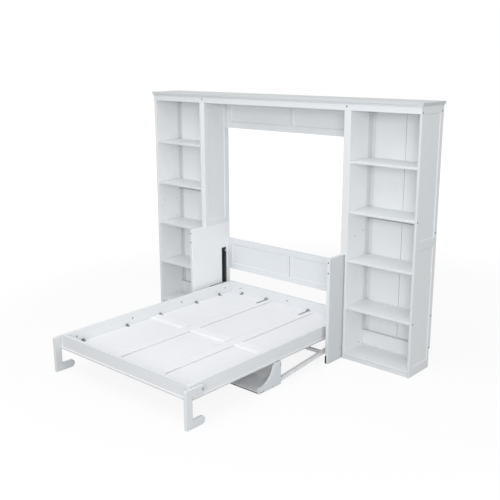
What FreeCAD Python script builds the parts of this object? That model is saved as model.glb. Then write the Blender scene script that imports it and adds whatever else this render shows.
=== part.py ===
# Wall bed: a fold-down bed between two bookcase towers, with a desk that stays level under the bed.
# Frame: X across from the middle of the unit, the wall at Y = 0, the room at negative Y, Z up from the floor.
# Every length is in millimetres and every angle in degrees.
import FreeCAD, Part
import os
import re
import Sketcher

os.makedirs("parts", exist_ok=True)
doc = FreeCAD.newDocument("wall_bed")
Vector = FreeCAD.Vector

# Driving dimensions, one spreadsheet row each
SIZES = [
    ("unit_height", 2100, "floor to the top of the top board"),
    ("tower_depth", 320, "wall to the front edges of the towers"),
    ("tower_half", 1425, "middle to the outer face of a tower"),
    ("board_thick", 18, "bookcase boards"),
    ("panel_sink", 6, "depth of the sunk field of a framed board"),
    ("inner_sink", 3, "depth of the fields on the inside of an outer tower side"),
    ("stile_wide", 52, "frame width round a sunk field"),
    ("rear_stile_wide", 38, "frame width at the wall edge of a tower side"),
    ("foot_rail_high", 72, "height of the bottom rail of a framed tower side"),
    ("middle_rail_low", 1008, "underside of the middle rail of a tower side"),
    ("middle_rail_high", 65, "height of that middle rail"),
    ("edge_bevel", 2, "bevel of the front edges of boards"),
    ("top_thick", 20, "top board"),
    ("top_over_side", 13, "top board past a tower side"),
    ("top_over_front", 12, "top board past the tower fronts"),
    ("top_round", 4, "rounding of the top board edge"),
    ("moulding_high", 9, "strip under the top board"),
    ("moulding_out", 5, "how far the strip stands out"),
    ("fascia_high", 60, "fascia under the top board"),
    ("fascia_thick", 18, "fascia board"),
    ("fascia_proud", 1, "fascia in front of the tower fronts"),
    ("skirting_high", 157, "notch for the skirting board of the room"),
    ("skirting_deep", 15, "depth of that notch"),
    ("bottom_level", 49, "top of the bottom boards"),
    ("shelf_pitch", 396.5, "from one shelf top to the next"),
    ("shelf_back", 12, "shelf edge behind the tower front"),
    ("plinth_back", 6, "plinth behind the tower front"),
    ("back_thick", 18, "tower back board"),
    ("back_inset", 2, "tower back board clear of the wall"),
    ("back_channel", 40, "width of the channel beside a tower back board"),
    ("back_channel_deep", 14, "depth of that channel"),
    ("back_seam", 4, "width of the seam between the two halves of a back"),
    ("back_seam_deep", 6, "depth of that seam"),
    ("back_seam_share", 0.533, "place of the seam across the back"),
    ("back_low", 160, "floor to the foot of a tower back board"),
    ("back_foot", 178, "floor to the top of the rebate along its foot"),
    ("batten_high", 64, "batten under the upper fixed shelf"),
    ("batten_drop", 6, "gap between that batten and the shelf"),
    ("kick_high", 83, "board behind the lowest compartment"),
    ("kick_thick", 15, "thickness of that board"),
    ("ledge_high", 40, "ledge on top of that board"),
    ("ledge_thick", 18, "thickness of the ledge"),
    ("bay_half", 760, "middle to the inner face of a cheek"),
    ("cheek_thick", 30, "cheek beside the bed"),
    ("cheek_high", 882, "height of a cheek"),
    ("cheek_deep", 503, "wall to the front edge of a cheek"),
    ("cheek_bevel", 3, "bevel of the front edges of a cheek"),
    ("upper_side_thick", 42, "side above a cheek"),
    ("toe_cap_high", 65, "dark cap at the foot of a cheek"),
    ("toe_cap_wide", 14, "width of the cap"),
    ("toe_cap_thick", 6, "thickness of the cap"),
    ("spacer_front", 200, "wall to the front of the spacer between a cheek and its tower"),
    ("spacer_deep", 100, "depth of that spacer"),
    ("back_panel_high", 300, "height of the two panels behind the bed"),
    ("back_panel_thick", 18, "their thickness"),
    ("back_panel_inset", 2, "their backs clear of the wall"),
    ("panel_groove", 4, "width of the groove down the middle of a back panel"),
    ("panel_groove_deep", 8, "depth of that groove"),
    ("lower_panel_level", 427, "underside of the lower back panel"),
    ("bed_gap", 35, "side rail to cheek"),
    ("bed_foot", 1987, "wall to the outer face of the foot rail"),
    ("bed_head", 25, "wall to the outer face of the head rail"),
    ("rail_thick", 25, "bed rails"),
    ("rail_high", 100, "height of a bed rail"),
    ("rail_bevel", 2, "bevel of the rail edges"),
    ("base_level", 187, "underside of the bed"),
    ("base_thick", 18, "base panels"),
    ("base_lip", 3, "base panels past the rails"),
    ("base_bevel", 3, "bevel of the lip"),
    ("seam_share", 0.35, "place of a seam between base panels, from the middle to a rail"),
    ("deck_batten_wide", 104, "batten over a seam"),
    ("deck_batten_high", 10, "height of a batten"),
    ("deck_batten_bevel", 22, "width of the bevel of a batten"),
    ("batten_step", 3, "upright edge below that bevel"),
    ("batten_lip", 4, "lip on the other edge, and the gap under it"),
    ("cross_batten_share", 0.517, "place of the cross batten from head to foot"),
    ("bracket_long", 28, "leg of an angle bracket on the deck"),
    ("bracket_up", 18, "leg of an angle bracket on the rail"),
    ("bracket_wide", 28, "width of an angle bracket"),
    ("bracket_thick", 3, "sheet of the brackets"),
    ("bracket_foot_share", 0.905, "place of the side bracket nearest the foot, from the head"),
    ("bracket_second_share", 0.674, "place of the next side bracket"),
    ("bracket_fourth_share", 0.256, "place of the fourth side bracket"),
    ("bracket_head_share", 0.099, "place of the side bracket nearest the head"),
    ("end_bracket_share", 0.79, "place of a bracket on an end rail, from the middle to a side rail"),
    ("strap_long", 140, "strap from a batten to the head rail"),
    ("strap_wide", 18, "width of the strap"),
    ("strap_up", 20, "height of its turned-up end"),
    ("bolt_head", 7, "radius of a rail bolt head"),
    ("bolt_head_high", 4, "height of that head"),
    ("bolt_drop", 48, "rail bolts below the top of the rail"),
    ("bolt_foot_inset", 130, "first side rail bolt behind the face of the foot rail"),
    ("bolt_head_inset", 111.5, "last side rail bolt in front of the face of the head rail"),
    ("end_bolt_share", 0.826, "place of an outer bolt of an end rail, from the middle to a side rail"),
    ("bed_pivot_out", 260, "wall to the bed pivot"),
    ("bed_pivot_up", 250, "floor to the bed pivot"),
    ("pivot_pin", 10, "radius of the bed pivot pins"),
    ("pivot_bush_wall", 4, "wall of their bushes"),
    ("fitting_thick", 3, "plate of a bed fitting"),
    ("fitting_half", 22, "half width of that plate"),
    ("running_gap", 0.05, "radial clearance of a running fit"),
    ("open_gap", 0.6, "radial clearance of an open pivot"),
    ("side_gap", 1, "clearance between a moving face and its neighbour"),
    ("leg_over", 58, "front face of a leg in front of the foot rail"),
    ("leg_bar", 60, "width of the leg bars"),
    ("leg_thick", 26, "thickness of a leg"),
    ("leg_gap", 5, "side rail to leg"),
    ("leg_bolt_back", 101, "leg bolt behind the face of the foot rail"),
    ("leg_bolt_up", 257, "floor to the leg bolt"),
    ("leg_foot_back", 117, "end of the foot behind that face"),
    ("leg_corner", 8, "rounding of the leg corners"),
    ("leg_edge", 2, "chamfer of the leg edges"),
    ("leg_bolt_shank", 6, "radius of the leg bolt"),
    ("leg_bolt_head", 12, "radius of its head"),
    ("leg_bolt_sink", 5, "depth of the recess for the head"),
    ("desk_pivot_out", 1066, "wall to the desk pivot"),
    ("desk_pivot_up", 172, "floor to the desk pivot"),
    ("desk_gap", 7, "desk side to cheek"),
    ("desk_side_thick", 18, "desk sides"),
    ("desk_front", 1308, "wall to the front of the desk"),
    ("desk_level", 8, "underside of the desktop"),
    ("desktop_thick", 18, "desktop board"),
    ("desk_toe_high", 52, "height of the front toe of a desk side"),
    ("desk_toe_long", 14, "flat length of that toe"),
    ("desk_curve", 165, "radius of the hollow front edge"),
    ("desk_corner", 11, "rounding about the desk pivot"),
    ("desk_back_inset", 6, "desk back in front of the rear edge"),
    ("desk_back_drop", 26, "desk back below the top of the sides"),
    ("desk_pin", 4, "radius of the desk pivot pins"),
    ("hanger_thick", 3, "sheet of the desk hangers"),
    ("hanger_long", 60, "length of a hanger flange"),
    ("hanger_wide", 34, "width of a hanger flange"),
    ("link_pivot_out", 345, "wall to the rear pivot of the link"),
    ("link_pivot_up", 96, "floor to that pivot"),
    ("link_bar", 30, "height of the link arms"),
    ("link_thick", 24, "thickness of the link arms"),
    ("link_gap", 2, "link arm to desk side"),
    ("link_pin", 6, "radius of the link pins"),
    ("link_collar", 10, "radius of the collar on a link pin"),
    ("cross_tube_out", 490, "wall to the cross tube of the link"),
    ("cross_tube_size", 24, "outside of the square cross tube"),
    ("cross_tube_wall", 2, "its wall"),
    ("strut_top_out", 80, "wall to the upper strut pivot"),
    ("strut_top_up", 615, "floor to that pivot"),
    ("strut_end_out", 80, "wall to the lower strut pivot"),
    ("strut_in", 15, "strut axis to cheek"),
    ("strut_body", 11, "radius of the strut cylinder"),
    ("strut_wall", 1.5, "wall of that cylinder"),
    ("strut_rod", 4, "radius of the rod"),
    ("strut_rod_show", 42, "rod outside the cylinder, bed down"),
    ("strut_cap", 12, "length of the ends of the cylinder"),
    ("piston_long", 10, "piston on the rod"),
    ("strut_eye", 10, "radius of a strut eye"),
    ("strut_eye_thick", 12, "thickness of a strut eye"),
    ("strut_pin", 5, "radius of a strut stud"),
    ("plate_thick", 3, "strut plate on the cheek"),
    ("plate_low", 300, "underside of that plate"),
    ("plate_high", 342, "height of that plate"),
    ("plate_front", 32, "plate in front of the strut axis"),
    ("plate_rear", 24, "plate behind the strut axis"),
    ("screw_head", 6, "radius of a cabinet screw head"),
    ("screw_head_high", 1.2, "height of that head"),
    ("screw_in", 18, "tower side screws behind the front edge"),
    ("screw_up", 8, "upper screws above the fascia edge"),
    ("screw_over_rail", 32, "rear side screw above the middle rail"),
    ("cheek_screw_high", 849, "floor to the upper screw on a cheek edge"),
    ("cheek_screw_middle", 763, "floor to the next screw down"),
    ("cheek_screw_low", 399, "floor to the lowest screw on a cheek edge"),
    ("overrun", 5, "how far a cutting tool reaches past the wood"),
]

# Places that follow from those dimensions
FOLLOWING = [
    ("bed_half", "bay_half - bed_gap", "middle to the outer face of a side rail"),
    ("rail_in", "bed_half - rail_thick", "middle to the inner face of a side rail"),
    ("bed_long", "bed_foot - bed_head", "length of the bed box"),
    ("seam_place", "seam_share * rail_in", "middle to a seam between base panels"),
    ("cross_batten_place", "bed_head + cross_batten_share * bed_long", "wall to the cross batten"),
    ("bracket_foot_place", "bed_head + bracket_foot_share * bed_long", "wall to the first side bracket"),
    ("bracket_second_place", "bed_head + bracket_second_share * bed_long", "wall to the next side bracket"),
    ("bracket_middle_place", "cross_batten_place - deck_batten_wide / 2 - side_gap - bracket_wide / 2",
     "wall to the middle side bracket"),
    ("bracket_fourth_place", "bed_head + bracket_fourth_share * bed_long", "wall to the fourth side bracket"),
    ("bracket_head_place", "bed_head + bracket_head_share * bed_long", "wall to the last side bracket"),
    ("end_bracket_place", "end_bracket_share * rail_in", "middle to a bracket on an end rail"),
    ("end_bolt_place", "end_bolt_share * rail_in", "middle to an outer bolt of an end rail"),
    ("side_bolt_run", "bed_long - bolt_foot_inset - bolt_head_inset", "first side rail bolt to the last"),
    ("leg_out", "bed_foot + leg_over", "wall to the front face of a leg"),
    ("leg_inner", "bed_half + leg_gap", "middle to the inner face of a leg"),
    ("leg_bolt_out", "bed_foot - leg_bolt_back", "wall to the leg bolt"),
    ("leg_foot_end", "bed_foot - leg_foot_back", "wall to the end of the foot"),
    ("desk_half", "bay_half - desk_gap", "middle to the outer face of a desk side"),
    ("strut_middle", "bay_half - strut_in", "middle to the strut axis"),
]
LOWER_FIXED = 1
UPPER_FIXED = 3
LOOSE = (2, 4)
BRACKET_PLACES = ("bracket_foot_place", "bracket_second_place", "bracket_middle_place",
                  "bracket_fourth_place", "bracket_head_place")
SIDE_BOLTS = 4
HEX_COUNT = 6
OCTAGON_COUNT = 8
FULL_TURN = 360

sheet = doc.addObject("Spreadsheet::Sheet", "dims")
rows = SIZES + [(name, "=" + text, meaning) for name, text, meaning in FOLLOWING]
for line, (name, value, meaning) in enumerate(rows, start=1):
    sheet.set("A%d" % line, name)
    sheet.setAlias("B%d" % line, name)
    sheet.set("B%d" % line, str(value))
    sheet.set("C%d" % line, meaning)
doc.recompute()
NAMES = {name for name, value, meaning in rows}

# Places worked out from the driving dimensions
FRONT = "(-tower_depth)"
TOWER_TOP = "(unit_height - top_thick)"
TOWER_IN = "(bay_half + upper_side_thick)"
SHELF_IN = "(bay_half + upper_side_thick + board_thick)"
SHELF_OUT = "(tower_half - board_thick)"
BACK_FACE = "(-back_inset - back_thick)"
FASCIA_LOW = "(unit_height - top_thick - fascia_high)"
FASCIA_DEEP = "(fascia_thick - fascia_proud)"
RAIL_LOW = "(base_level + base_thick)"
RAIL_TOP = "(base_level + base_thick + rail_high)"
RAIL_IN = "rail_in"
BED_PIVOT = ("(-bed_pivot_out)", "bed_pivot_up")
DESK_PIVOT = ("(-desk_pivot_out)", "desk_pivot_up")
LINK_REAR = ("(-link_pivot_out)", "link_pivot_up")
LINK_RUN = "(desk_pivot_out - bed_pivot_out)"
LINK_FALL = "(bed_pivot_up - desk_pivot_up)"
LINK_SPAN = "sqrt(%s^2 + %s^2)" % (LINK_RUN, LINK_FALL)
LINK_FRONT = ("(-link_pivot_out - %s)" % LINK_RUN, "(link_pivot_up - %s)" % LINK_FALL)
LEG_BOLT = ("(-leg_bolt_out)", "leg_bolt_up")
DESK_IN = "(desk_half - desk_side_thick)"
DESK_TOP = "(desk_pivot_up + desk_corner)"
DESK_REAR = "(-desk_pivot_out + desk_corner)"
LINK_OUTER = "(%s - link_gap)" % DESK_IN
LINK_INNER = "(%s - link_thick)" % LINK_OUTER
STRUT_TOP = ("(-strut_top_out)", "strut_top_up")
STRUT_END = ("(-strut_end_out)", "bed_pivot_up")


def bound(text):
    """Point each size name in an expression at its spreadsheet cell."""
    def pointed(word):
        return ("dims." if word.group(0) in NAMES else "") + word.group(0)

    return re.sub(r"[A-Za-z_]+", pointed, text)


def number(text):
    """Value of an expression now."""
    value = sheet.evalExpression(bound(text))
    return float(getattr(value, "Value", value))


def minus(text):
    return "(-(%s))" % text


def mirrored(side, low, high):
    """Span on the right side, or its mirror image on the left."""
    return (low, high) if side == "right" else (minus(high), minus(low))


def placed(side, place):
    return place if side == "right" else minus(place)


# Sketches on a body's own origin planes
PLANES = {"YZ_Plane": ("y", "z", "x"), "XZ_Plane": ("x", "z", "y"), "XY_Plane": ("x", "y", "z")}


def sketch_on(body, plane, name, level="0"):
    sketch = body.newObject("Sketcher::SketchObject", name)
    face = [item for item in body.Origin.OriginFeatures if item.Role == plane][0]
    sketch.AttachmentSupport = [(face, "")]
    sketch.MapMode = "FlatFace"
    if level != "0":
        sketch.setExpression("AttachmentOffset.Base.z", bound(level))
    return sketch


def pin_point(sketch, geometry, corner, place, axes="xy"):
    """Tie one point of the sketch to its place from the origin."""
    for axis, kind, text in (("x", "DistanceX", place[0]), ("y", "DistanceY", place[1])):
        if axis in axes:
            index = sketch.addConstraint(Sketcher.Constraint(kind, -1, 1, geometry, corner, number(text)))
            sketch.setExpression("Constraints[%d]" % index, bound(text))


def outline(sketch, points):
    """Closed outline. A point is (x, y); one that starts an arc is (x, y, centre x, centre y, turn)."""
    places = [Vector(number(point[0]), number(point[1]), 0) for point in points]
    count = len(points)
    loose = {}
    for index, point in enumerate(points):
        start = places[index]
        end = places[(index + 1) % count]
        if len(point) == 2:
            sketch.addGeometry(Part.LineSegment(start, end))
            continue
        centre = Vector(number(point[2]), number(point[3]), 0)
        first, last = (start, end) if point[4] > 0 else (end, start)
        reach = start - centre
        circle = Part.Circle(centre, Vector(0, 0, 1), reach.Length)
        sketch.addGeometry(Part.ArcOfCircle(circle, circle.parameter(first), circle.parameter(last)))
        to_end = end - centre
        loose[(index + 1) % count] = "y" if abs(to_end.x) > abs(to_end.y) else "x"
    for index, point in enumerate(points):
        follower = (index + 1) % count
        own_start = 1 if len(point) == 2 or point[4] > 0 else 2
        own_end = 3 - own_start
        next_start = 1 if len(points[follower]) == 2 or points[follower][4] > 0 else 2
        sketch.addConstraint(Sketcher.Constraint("Coincident", index, own_end, follower, next_start))
        pin_point(sketch, index, own_start, point[:2], loose.get(index, "xy"))
        if len(point) > 2:
            pin_point(sketch, index, 3, (point[2], point[3]))


def rectangle(first, second):
    return [(first[0], second[0]), (first[1], second[0]), (first[1], second[1]), (first[0], second[1])]


def padded(name, plane, points, span):
    """Body padded from an outline; the other two axes keep the coordinates of the whole unit."""
    body = doc.addObject("PartDesign::Body", name)
    body.Label = name
    sketch = sketch_on(body, plane, name + "_outline")
    outline(sketch, points)
    pad = body.newObject("PartDesign::Pad", name + "_pad")
    pad.Profile = sketch
    pad.setExpression("Length", bound("(%s) - (%s)" % (span[1], span[0])))
    along = PLANES[plane][2]
    start = span[1] if plane == "XZ_Plane" else span[0]
    body.setExpression("Placement.Base." + along, bound(start))
    doc.recompute()
    return body


def pocketed(body, plane, name, draw, depth, level="0", forward=False):
    """Pocket in a body; it has to take something away."""
    before = body.Shape.Volume
    sketch = sketch_on(body, plane, name + "_outline", level)
    draw(sketch)
    pocket = body.newObject("PartDesign::Pocket", name)
    pocket.Profile = sketch
    pocket.setExpression("Length", bound(depth))
    pocket.Reversed = forward
    doc.recompute()
    if body.Shape.Volume >= before:
        raise ValueError("pocket takes nothing away: " + name)
    return pocket


def eased(body, kind, size, chosen, name):
    """Fillet or chamfer on the edges that a test picks."""
    base = body.Tip
    picked = ["Edge%d" % (index + 1) for index, edge in enumerate(base.Shape.Edges) if chosen(edge)]
    if not picked:
        raise ValueError("no edge to ease: " + name)
    ease = body.newObject("PartDesign::" + kind, name)
    ease.Base = (base, picked)
    ease.setExpression("Radius" if kind == "Fillet" else "Size", bound(size))
    doc.recompute()


def bevelled(body, size, chosen, name):
    eased(body, "Chamfer", size, chosen, name)


ALONG_SHARE = 0.999
NEAR = 0.02


def runs_along(edge, axis):
    """True for a straight edge along an axis."""
    if edge.Curve.TypeId != "Part::GeomLine":
        return False
    return abs(getattr(edge.tangentAt(edge.FirstParameter), axis)) > ALONG_SHARE


def lies_at(edge, axis, place):
    box = edge.BoundBox
    low = getattr(box, axis.upper() + "Min")
    high = getattr(box, axis.upper() + "Max")
    return abs(low - place) < NEAR and abs(high - place) < NEAR


# Plain blocks and rods with bound sizes
def block(name, across, deep, tall):
    piece = doc.addObject("Part::Box", name)
    piece.Label = name
    for size, axis, span in (("Length", "x", across), ("Width", "y", deep), ("Height", "z", tall)):
        piece.setExpression(size, bound("(%s) - (%s)" % (span[1], span[0])))
        piece.setExpression("Placement.Base." + axis, bound(span[0]))
    return piece


TURNS = {"x": FreeCAD.Rotation(Vector(0, 1, 0), 90), "y": FreeCAD.Rotation(Vector(1, 0, 0), -90),
         "z": FreeCAD.Rotation()}


def laid(piece, axis, span, centre):
    """Turn a round or many-sided piece to an axis and set its ends and centre."""
    piece.Label = piece.Name
    piece.Placement.Rotation = TURNS[axis]
    piece.setExpression("Height", bound("(%s) - (%s)" % (span[1], span[0])))
    places = dict(zip([item for item in "xyz" if item != axis], centre))
    places[axis] = span[0]
    for item, text in places.items():
        piece.setExpression("Placement.Base." + item, bound(text))
    return piece


def rod(name, axis, span, centre, radius):
    """Cylinder along an axis from one end of a span to the other."""
    piece = doc.addObject("Part::Cylinder", name)
    piece.setExpression("Radius", bound(radius))
    return laid(piece, axis, span, centre)


def fastener(name, axis, span, centre, radius, flats):
    """Screw or bolt head with flat sides."""
    piece = doc.addObject("Part::Prism", name)
    piece.Polygon = flats
    piece.setExpression("Circumradius", bound(radius))
    return laid(piece, axis, span, centre)


def joined(name, pieces):
    whole = doc.addObject("Part::MultiFuse", name)
    whole.Label = name
    whole.Shapes = pieces
    whole.Refine = True
    return whole


def cut(name, base, tools):
    """Base with one or more tools taken away."""
    whole = doc.addObject("Part::Cut", name)
    whole.Label = name
    whole.Base = base
    whole.Tool = tools[0] if len(tools) == 1 else joined(name + "_tools", tools)
    whole.Refine = True
    return whole


def grouped(name, pieces):
    """Several separate solids of one kind under one name."""
    whole = doc.addObject("Part::Compound", name)
    whole.Label = name
    whole.Links = pieces
    return whole


nodes = []


def node(piece):
    nodes.append(piece)
    return piece


SIDES = ("left", "right")


# Top board, its moulding and the fascia
def make_top():
    half = "(tower_half + top_over_side)"
    front = "(-tower_depth - top_over_front)"
    board = padded("top_board", "XY_Plane", rectangle((minus(half), half), (front, "0")),
                   (TOWER_TOP, "unit_height"))
    top = number("top_thick")
    rear = number("tower_depth") / 2
    eased(board, "Fillet", "top_round",
          lambda edge: lies_at(edge, "z", top) and edge.BoundBox.YMin < -rear, "top_board_round")
    node(board)
    inner = "tower_half"
    outer = "(tower_half + moulding_out)"
    face = "(-tower_depth - fascia_proud)"
    lip = "(-tower_depth - fascia_proud - moulding_out)"
    strip = [(minus(outer), "0"), (minus(outer), lip), (outer, lip), (outer, "0"),
             (inner, "0"), (inner, face), (minus(inner), face), (minus(inner), "0")]
    node(padded("top_moulding", "XY_Plane", strip, ("(%s - moulding_high)" % TOWER_TOP, TOWER_TOP)))
    node(padded("top_fascia", "XZ_Plane",
                rectangle((minus("tower_half"), "tower_half"), (FASCIA_LOW, TOWER_TOP)),
                (face, "(%s + %s)" % (FRONT, FASCIA_DEEP))))


def side_outline(low, skirting):
    """Tower side seen from the side: notched for the fascia above and for the skirting board below."""
    notch = "(%s + %s)" % (FRONT, FASCIA_DEEP)
    foot = [(FRONT, low), ("0", low)]
    if skirting:
        foot = [(FRONT, low), ("(-skirting_deep)", low), ("(-skirting_deep)", "skirting_high"),
                ("0", "skirting_high")]
    return foot + [("0", TOWER_TOP), (notch, TOWER_TOP), (notch, FASCIA_LOW), (FRONT, FASCIA_LOW)]


def sunk_fields(body, name, fields, depth, level, forward):
    """Sunk fields on one face of a framed board, each between (front, rear) and (low, high)."""
    for index, (deep, tall) in enumerate(fields):
        pocketed(body, "YZ_Plane", "%s_%d" % (name, index),
                 lambda sketch: outline(sketch, rectangle(deep, tall)), depth, level, forward)


def make_tower_sides():
    deep = ("(%s + stile_wide)" % FRONT, "(-rear_stile_wide)")
    fields = [(deep, ("foot_rail_high", "middle_rail_low")),
              (deep, ("(middle_rail_low + middle_rail_high)", FASCIA_LOW))]
    front = number(FRONT)
    for side in SIDES:
        outer = side + "_tower_outer_side"
        body = padded(outer, "YZ_Plane", side_outline("0", True), mirrored(side, SHELF_OUT, "tower_half"))
        high_face_out = side == "right"
        sunk_fields(body, outer + "_outside", fields, "panel_sink",
                    "board_thick" if high_face_out else "0", not high_face_out)
        sunk_fields(body, outer + "_inside", fields, "inner_sink",
                    "0" if high_face_out else "board_thick", high_face_out)
        bevelled(body, "edge_bevel",
                 lambda edge: lies_at(edge, "y", front) and runs_along(edge, "z"), outer + "_bevel")
        node(body)
        inner = side + "_tower_inner_side"
        body = padded(inner, "YZ_Plane", side_outline("0", True), mirrored(side, TOWER_IN, SHELF_IN))
        bevelled(body, "edge_bevel",
                 lambda edge: lies_at(edge, "y", front) and runs_along(edge, "z"), inner + "_bevel")
        node(body)


def shelf_level(index):
    return "(bottom_level + %d * shelf_pitch)" % index


def shelf(name, side, index, set_back="shelf_back"):
    top = shelf_level(index)
    body = padded(name, "XY_Plane",
                  rectangle(mirrored(side, SHELF_IN, SHELF_OUT),
                            ("(%s + %s)" % (FRONT, set_back), BACK_FACE)),
                  ("(%s - board_thick)" % top, top))
    front = number("-tower_depth + %s" % set_back)
    bevelled(body, "edge_bevel",
             lambda edge: lies_at(edge, "y", front) and runs_along(edge, "x"), name + "_bevel")
    return body


def make_tower_boards():
    plinths = []
    battens = []
    ledges = []
    for side in SIDES:
        across = mirrored(side, SHELF_IN, SHELF_OUT)
        node(shelf(side + "_tower_bottom", side, 0, "plinth_back"))
        node(shelf(side + "_lower_fixed_shelf", side, LOWER_FIXED))
        node(shelf(side + "_upper_fixed_shelf", side, UPPER_FIXED))
        loose = [shelf("%s_loose_shelf_%d" % (side, index), side, index) for index in LOOSE]
        node(grouped(side + "_loose_shelves", loose))
        plinths.append(block(side + "_plinth", across,
                             ("(%s + plinth_back)" % FRONT, "(%s + plinth_back + board_thick)" % FRONT),
                             ("0", "(bottom_level - board_thick)")))
        batten_top = "(%s - board_thick - batten_drop)" % shelf_level(UPPER_FIXED)
        battens.append(block(side + "_batten", across, ("(%s - board_thick)" % BACK_FACE, BACK_FACE),
                             ("(%s - batten_high)" % batten_top, batten_top)))
        battens.append(block(side + "_spacer", mirrored(side, "(bay_half + cheek_thick)", TOWER_IN),
                             ("(-spacer_front)", "(-spacer_front + spacer_deep)"), ("0", "cheek_high")))
        kick_top = "(bottom_level + kick_high)"
        ledges.append(block(side + "_kick", across, ("(%s - kick_thick)" % BACK_FACE, BACK_FACE),
                            ("bottom_level", kick_top)))
        ledges.append(block(side + "_ledge", across, ("(%s - ledge_thick)" % BACK_FACE, BACK_FACE),
                            (kick_top, "(%s + ledge_high)" % kick_top)))
        make_tower_back(side, across)
    node(grouped("tower_plinths", plinths))
    node(grouped("back_battens", battens))
    node(grouped("skirting_ledges", ledges))


def make_tower_back(side, across):
    """Back board with a deep channel at one edge, a rebate along its foot and a seam down its length."""
    name = side + "_tower_back"
    full = ("back_low", TOWER_TOP)
    body = padded(name, "XZ_Plane", rectangle(across, full), (BACK_FACE, "(-back_inset)"))
    channel = (across[0], "(%s + back_channel)" % across[0])
    seam = "(%s + back_seam_share * (%s - %s))" % (across[0], SHELF_OUT, SHELF_IN)
    groove = ("(%s - back_seam / 2)" % seam, "(%s + back_seam / 2)" % seam)
    for part, wide, tall, depth in (("channel", channel, full, "back_channel_deep"),
                                    ("foot", across, ("back_low", "back_foot"), "back_channel_deep"),
                                    ("seam", groove, ("back_foot", TOWER_TOP), "back_seam_deep")):
        pocketed(body, "XZ_Plane", "%s_%s" % (name, part),
                 lambda sketch: outline(sketch, rectangle(wide, tall)), depth, "back_thick")
    node(body)


# The bay between the towers: framed upper sides, cheeks and two back panels
def make_bay():
    front = number(FRONT)
    cheek_front = number("-cheek_deep")
    caps = []
    for side in SIDES:
        upper = side + "_upper_side"
        body = padded(upper, "YZ_Plane", side_outline("cheek_high", False),
                      mirrored(side, "bay_half", TOWER_IN))
        field = (("(%s + stile_wide)" % FRONT, "(-stile_wide)"),
                 ("(cheek_high + stile_wide)", "(%s - stile_wide)" % FASCIA_LOW))
        sunk_fields(body, upper + "_field", [field], "panel_sink",
                    "0" if side == "right" else "upper_side_thick", side == "right")
        bevelled(body, "edge_bevel",
                 lambda edge: lies_at(edge, "y", front) and runs_along(edge, "z"), upper + "_bevel")
        node(body)
        cheek = side + "_cheek"
        body = padded(cheek + "_board", "YZ_Plane", rectangle(("(-cheek_deep)", "0"), ("0", "cheek_high")),
                      mirrored(side, "bay_half", "(bay_half + cheek_thick)"))
        bevelled(body, "cheek_bevel",
                 lambda edge: lies_at(edge, "y", cheek_front) and runs_along(edge, "z"), cheek + "_bevel")
        through = mirrored(side, "(bay_half - overrun)", "(bay_half + cheek_thick + overrun)")
        toe_deep = "(-cheek_deep + toe_cap_thick)"
        recess = block(cheek + "_toe", mirrored(side, "(bay_half - overrun)", "(bay_half + toe_cap_wide)"),
                       ("(-cheek_deep - overrun)", toe_deep), ("(-overrun)", "toe_cap_high"))
        node(cut(cheek, body, [rod(cheek + "_bed_bore", "x", through, BED_PIVOT, "pivot_pin"),
                               rod(cheek + "_link_bore", "x", through, LINK_REAR, "link_pin"), recess]))
        caps.append(block(side + "_toe_cap", mirrored(side, "bay_half", "(bay_half + toe_cap_wide)"),
                          ("(-cheek_deep)", toe_deep), ("0", "toe_cap_high")))
    node(grouped("cheek_toe_caps", caps))
    make_back_panel("upper_back_panel", "(%s - back_panel_high)" % TOWER_TOP,
                    "(%s - rear_stile_wide)" % FASCIA_LOW)
    panel_top = "(lower_panel_level + back_panel_high)"
    make_back_panel("lower_back_panel", "lower_panel_level", "(%s - stile_wide)" % panel_top)


def make_back_panel(name, low, field_top):
    """Panel behind the bed: two framed fields and a groove between them."""
    high = "(%s + back_panel_high)" % low
    deep = ("(-back_panel_inset - back_panel_thick)", "(-back_panel_inset)")
    body = padded(name, "XZ_Plane", rectangle((minus("bay_half"), "bay_half"), (low, high)), deep)
    tall = ("(%s + stile_wide)" % low, field_top)
    for side in SIDES:
        wide = mirrored(side, "(stile_wide / 2)", "(bay_half - stile_wide)")
        pocketed(body, "XZ_Plane", "%s_%s_field" % (name, side),
                 lambda sketch: outline(sketch, rectangle(wide, tall)),
                 "panel_sink", "back_panel_thick")
    groove = ("(-panel_groove / 2)", "(panel_groove / 2)")
    pocketed(body, "XZ_Plane", name + "_groove",
             lambda sketch: outline(sketch, rectangle(groove, tall)),
             "panel_groove_deep", "back_panel_thick")
    node(body)


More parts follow.
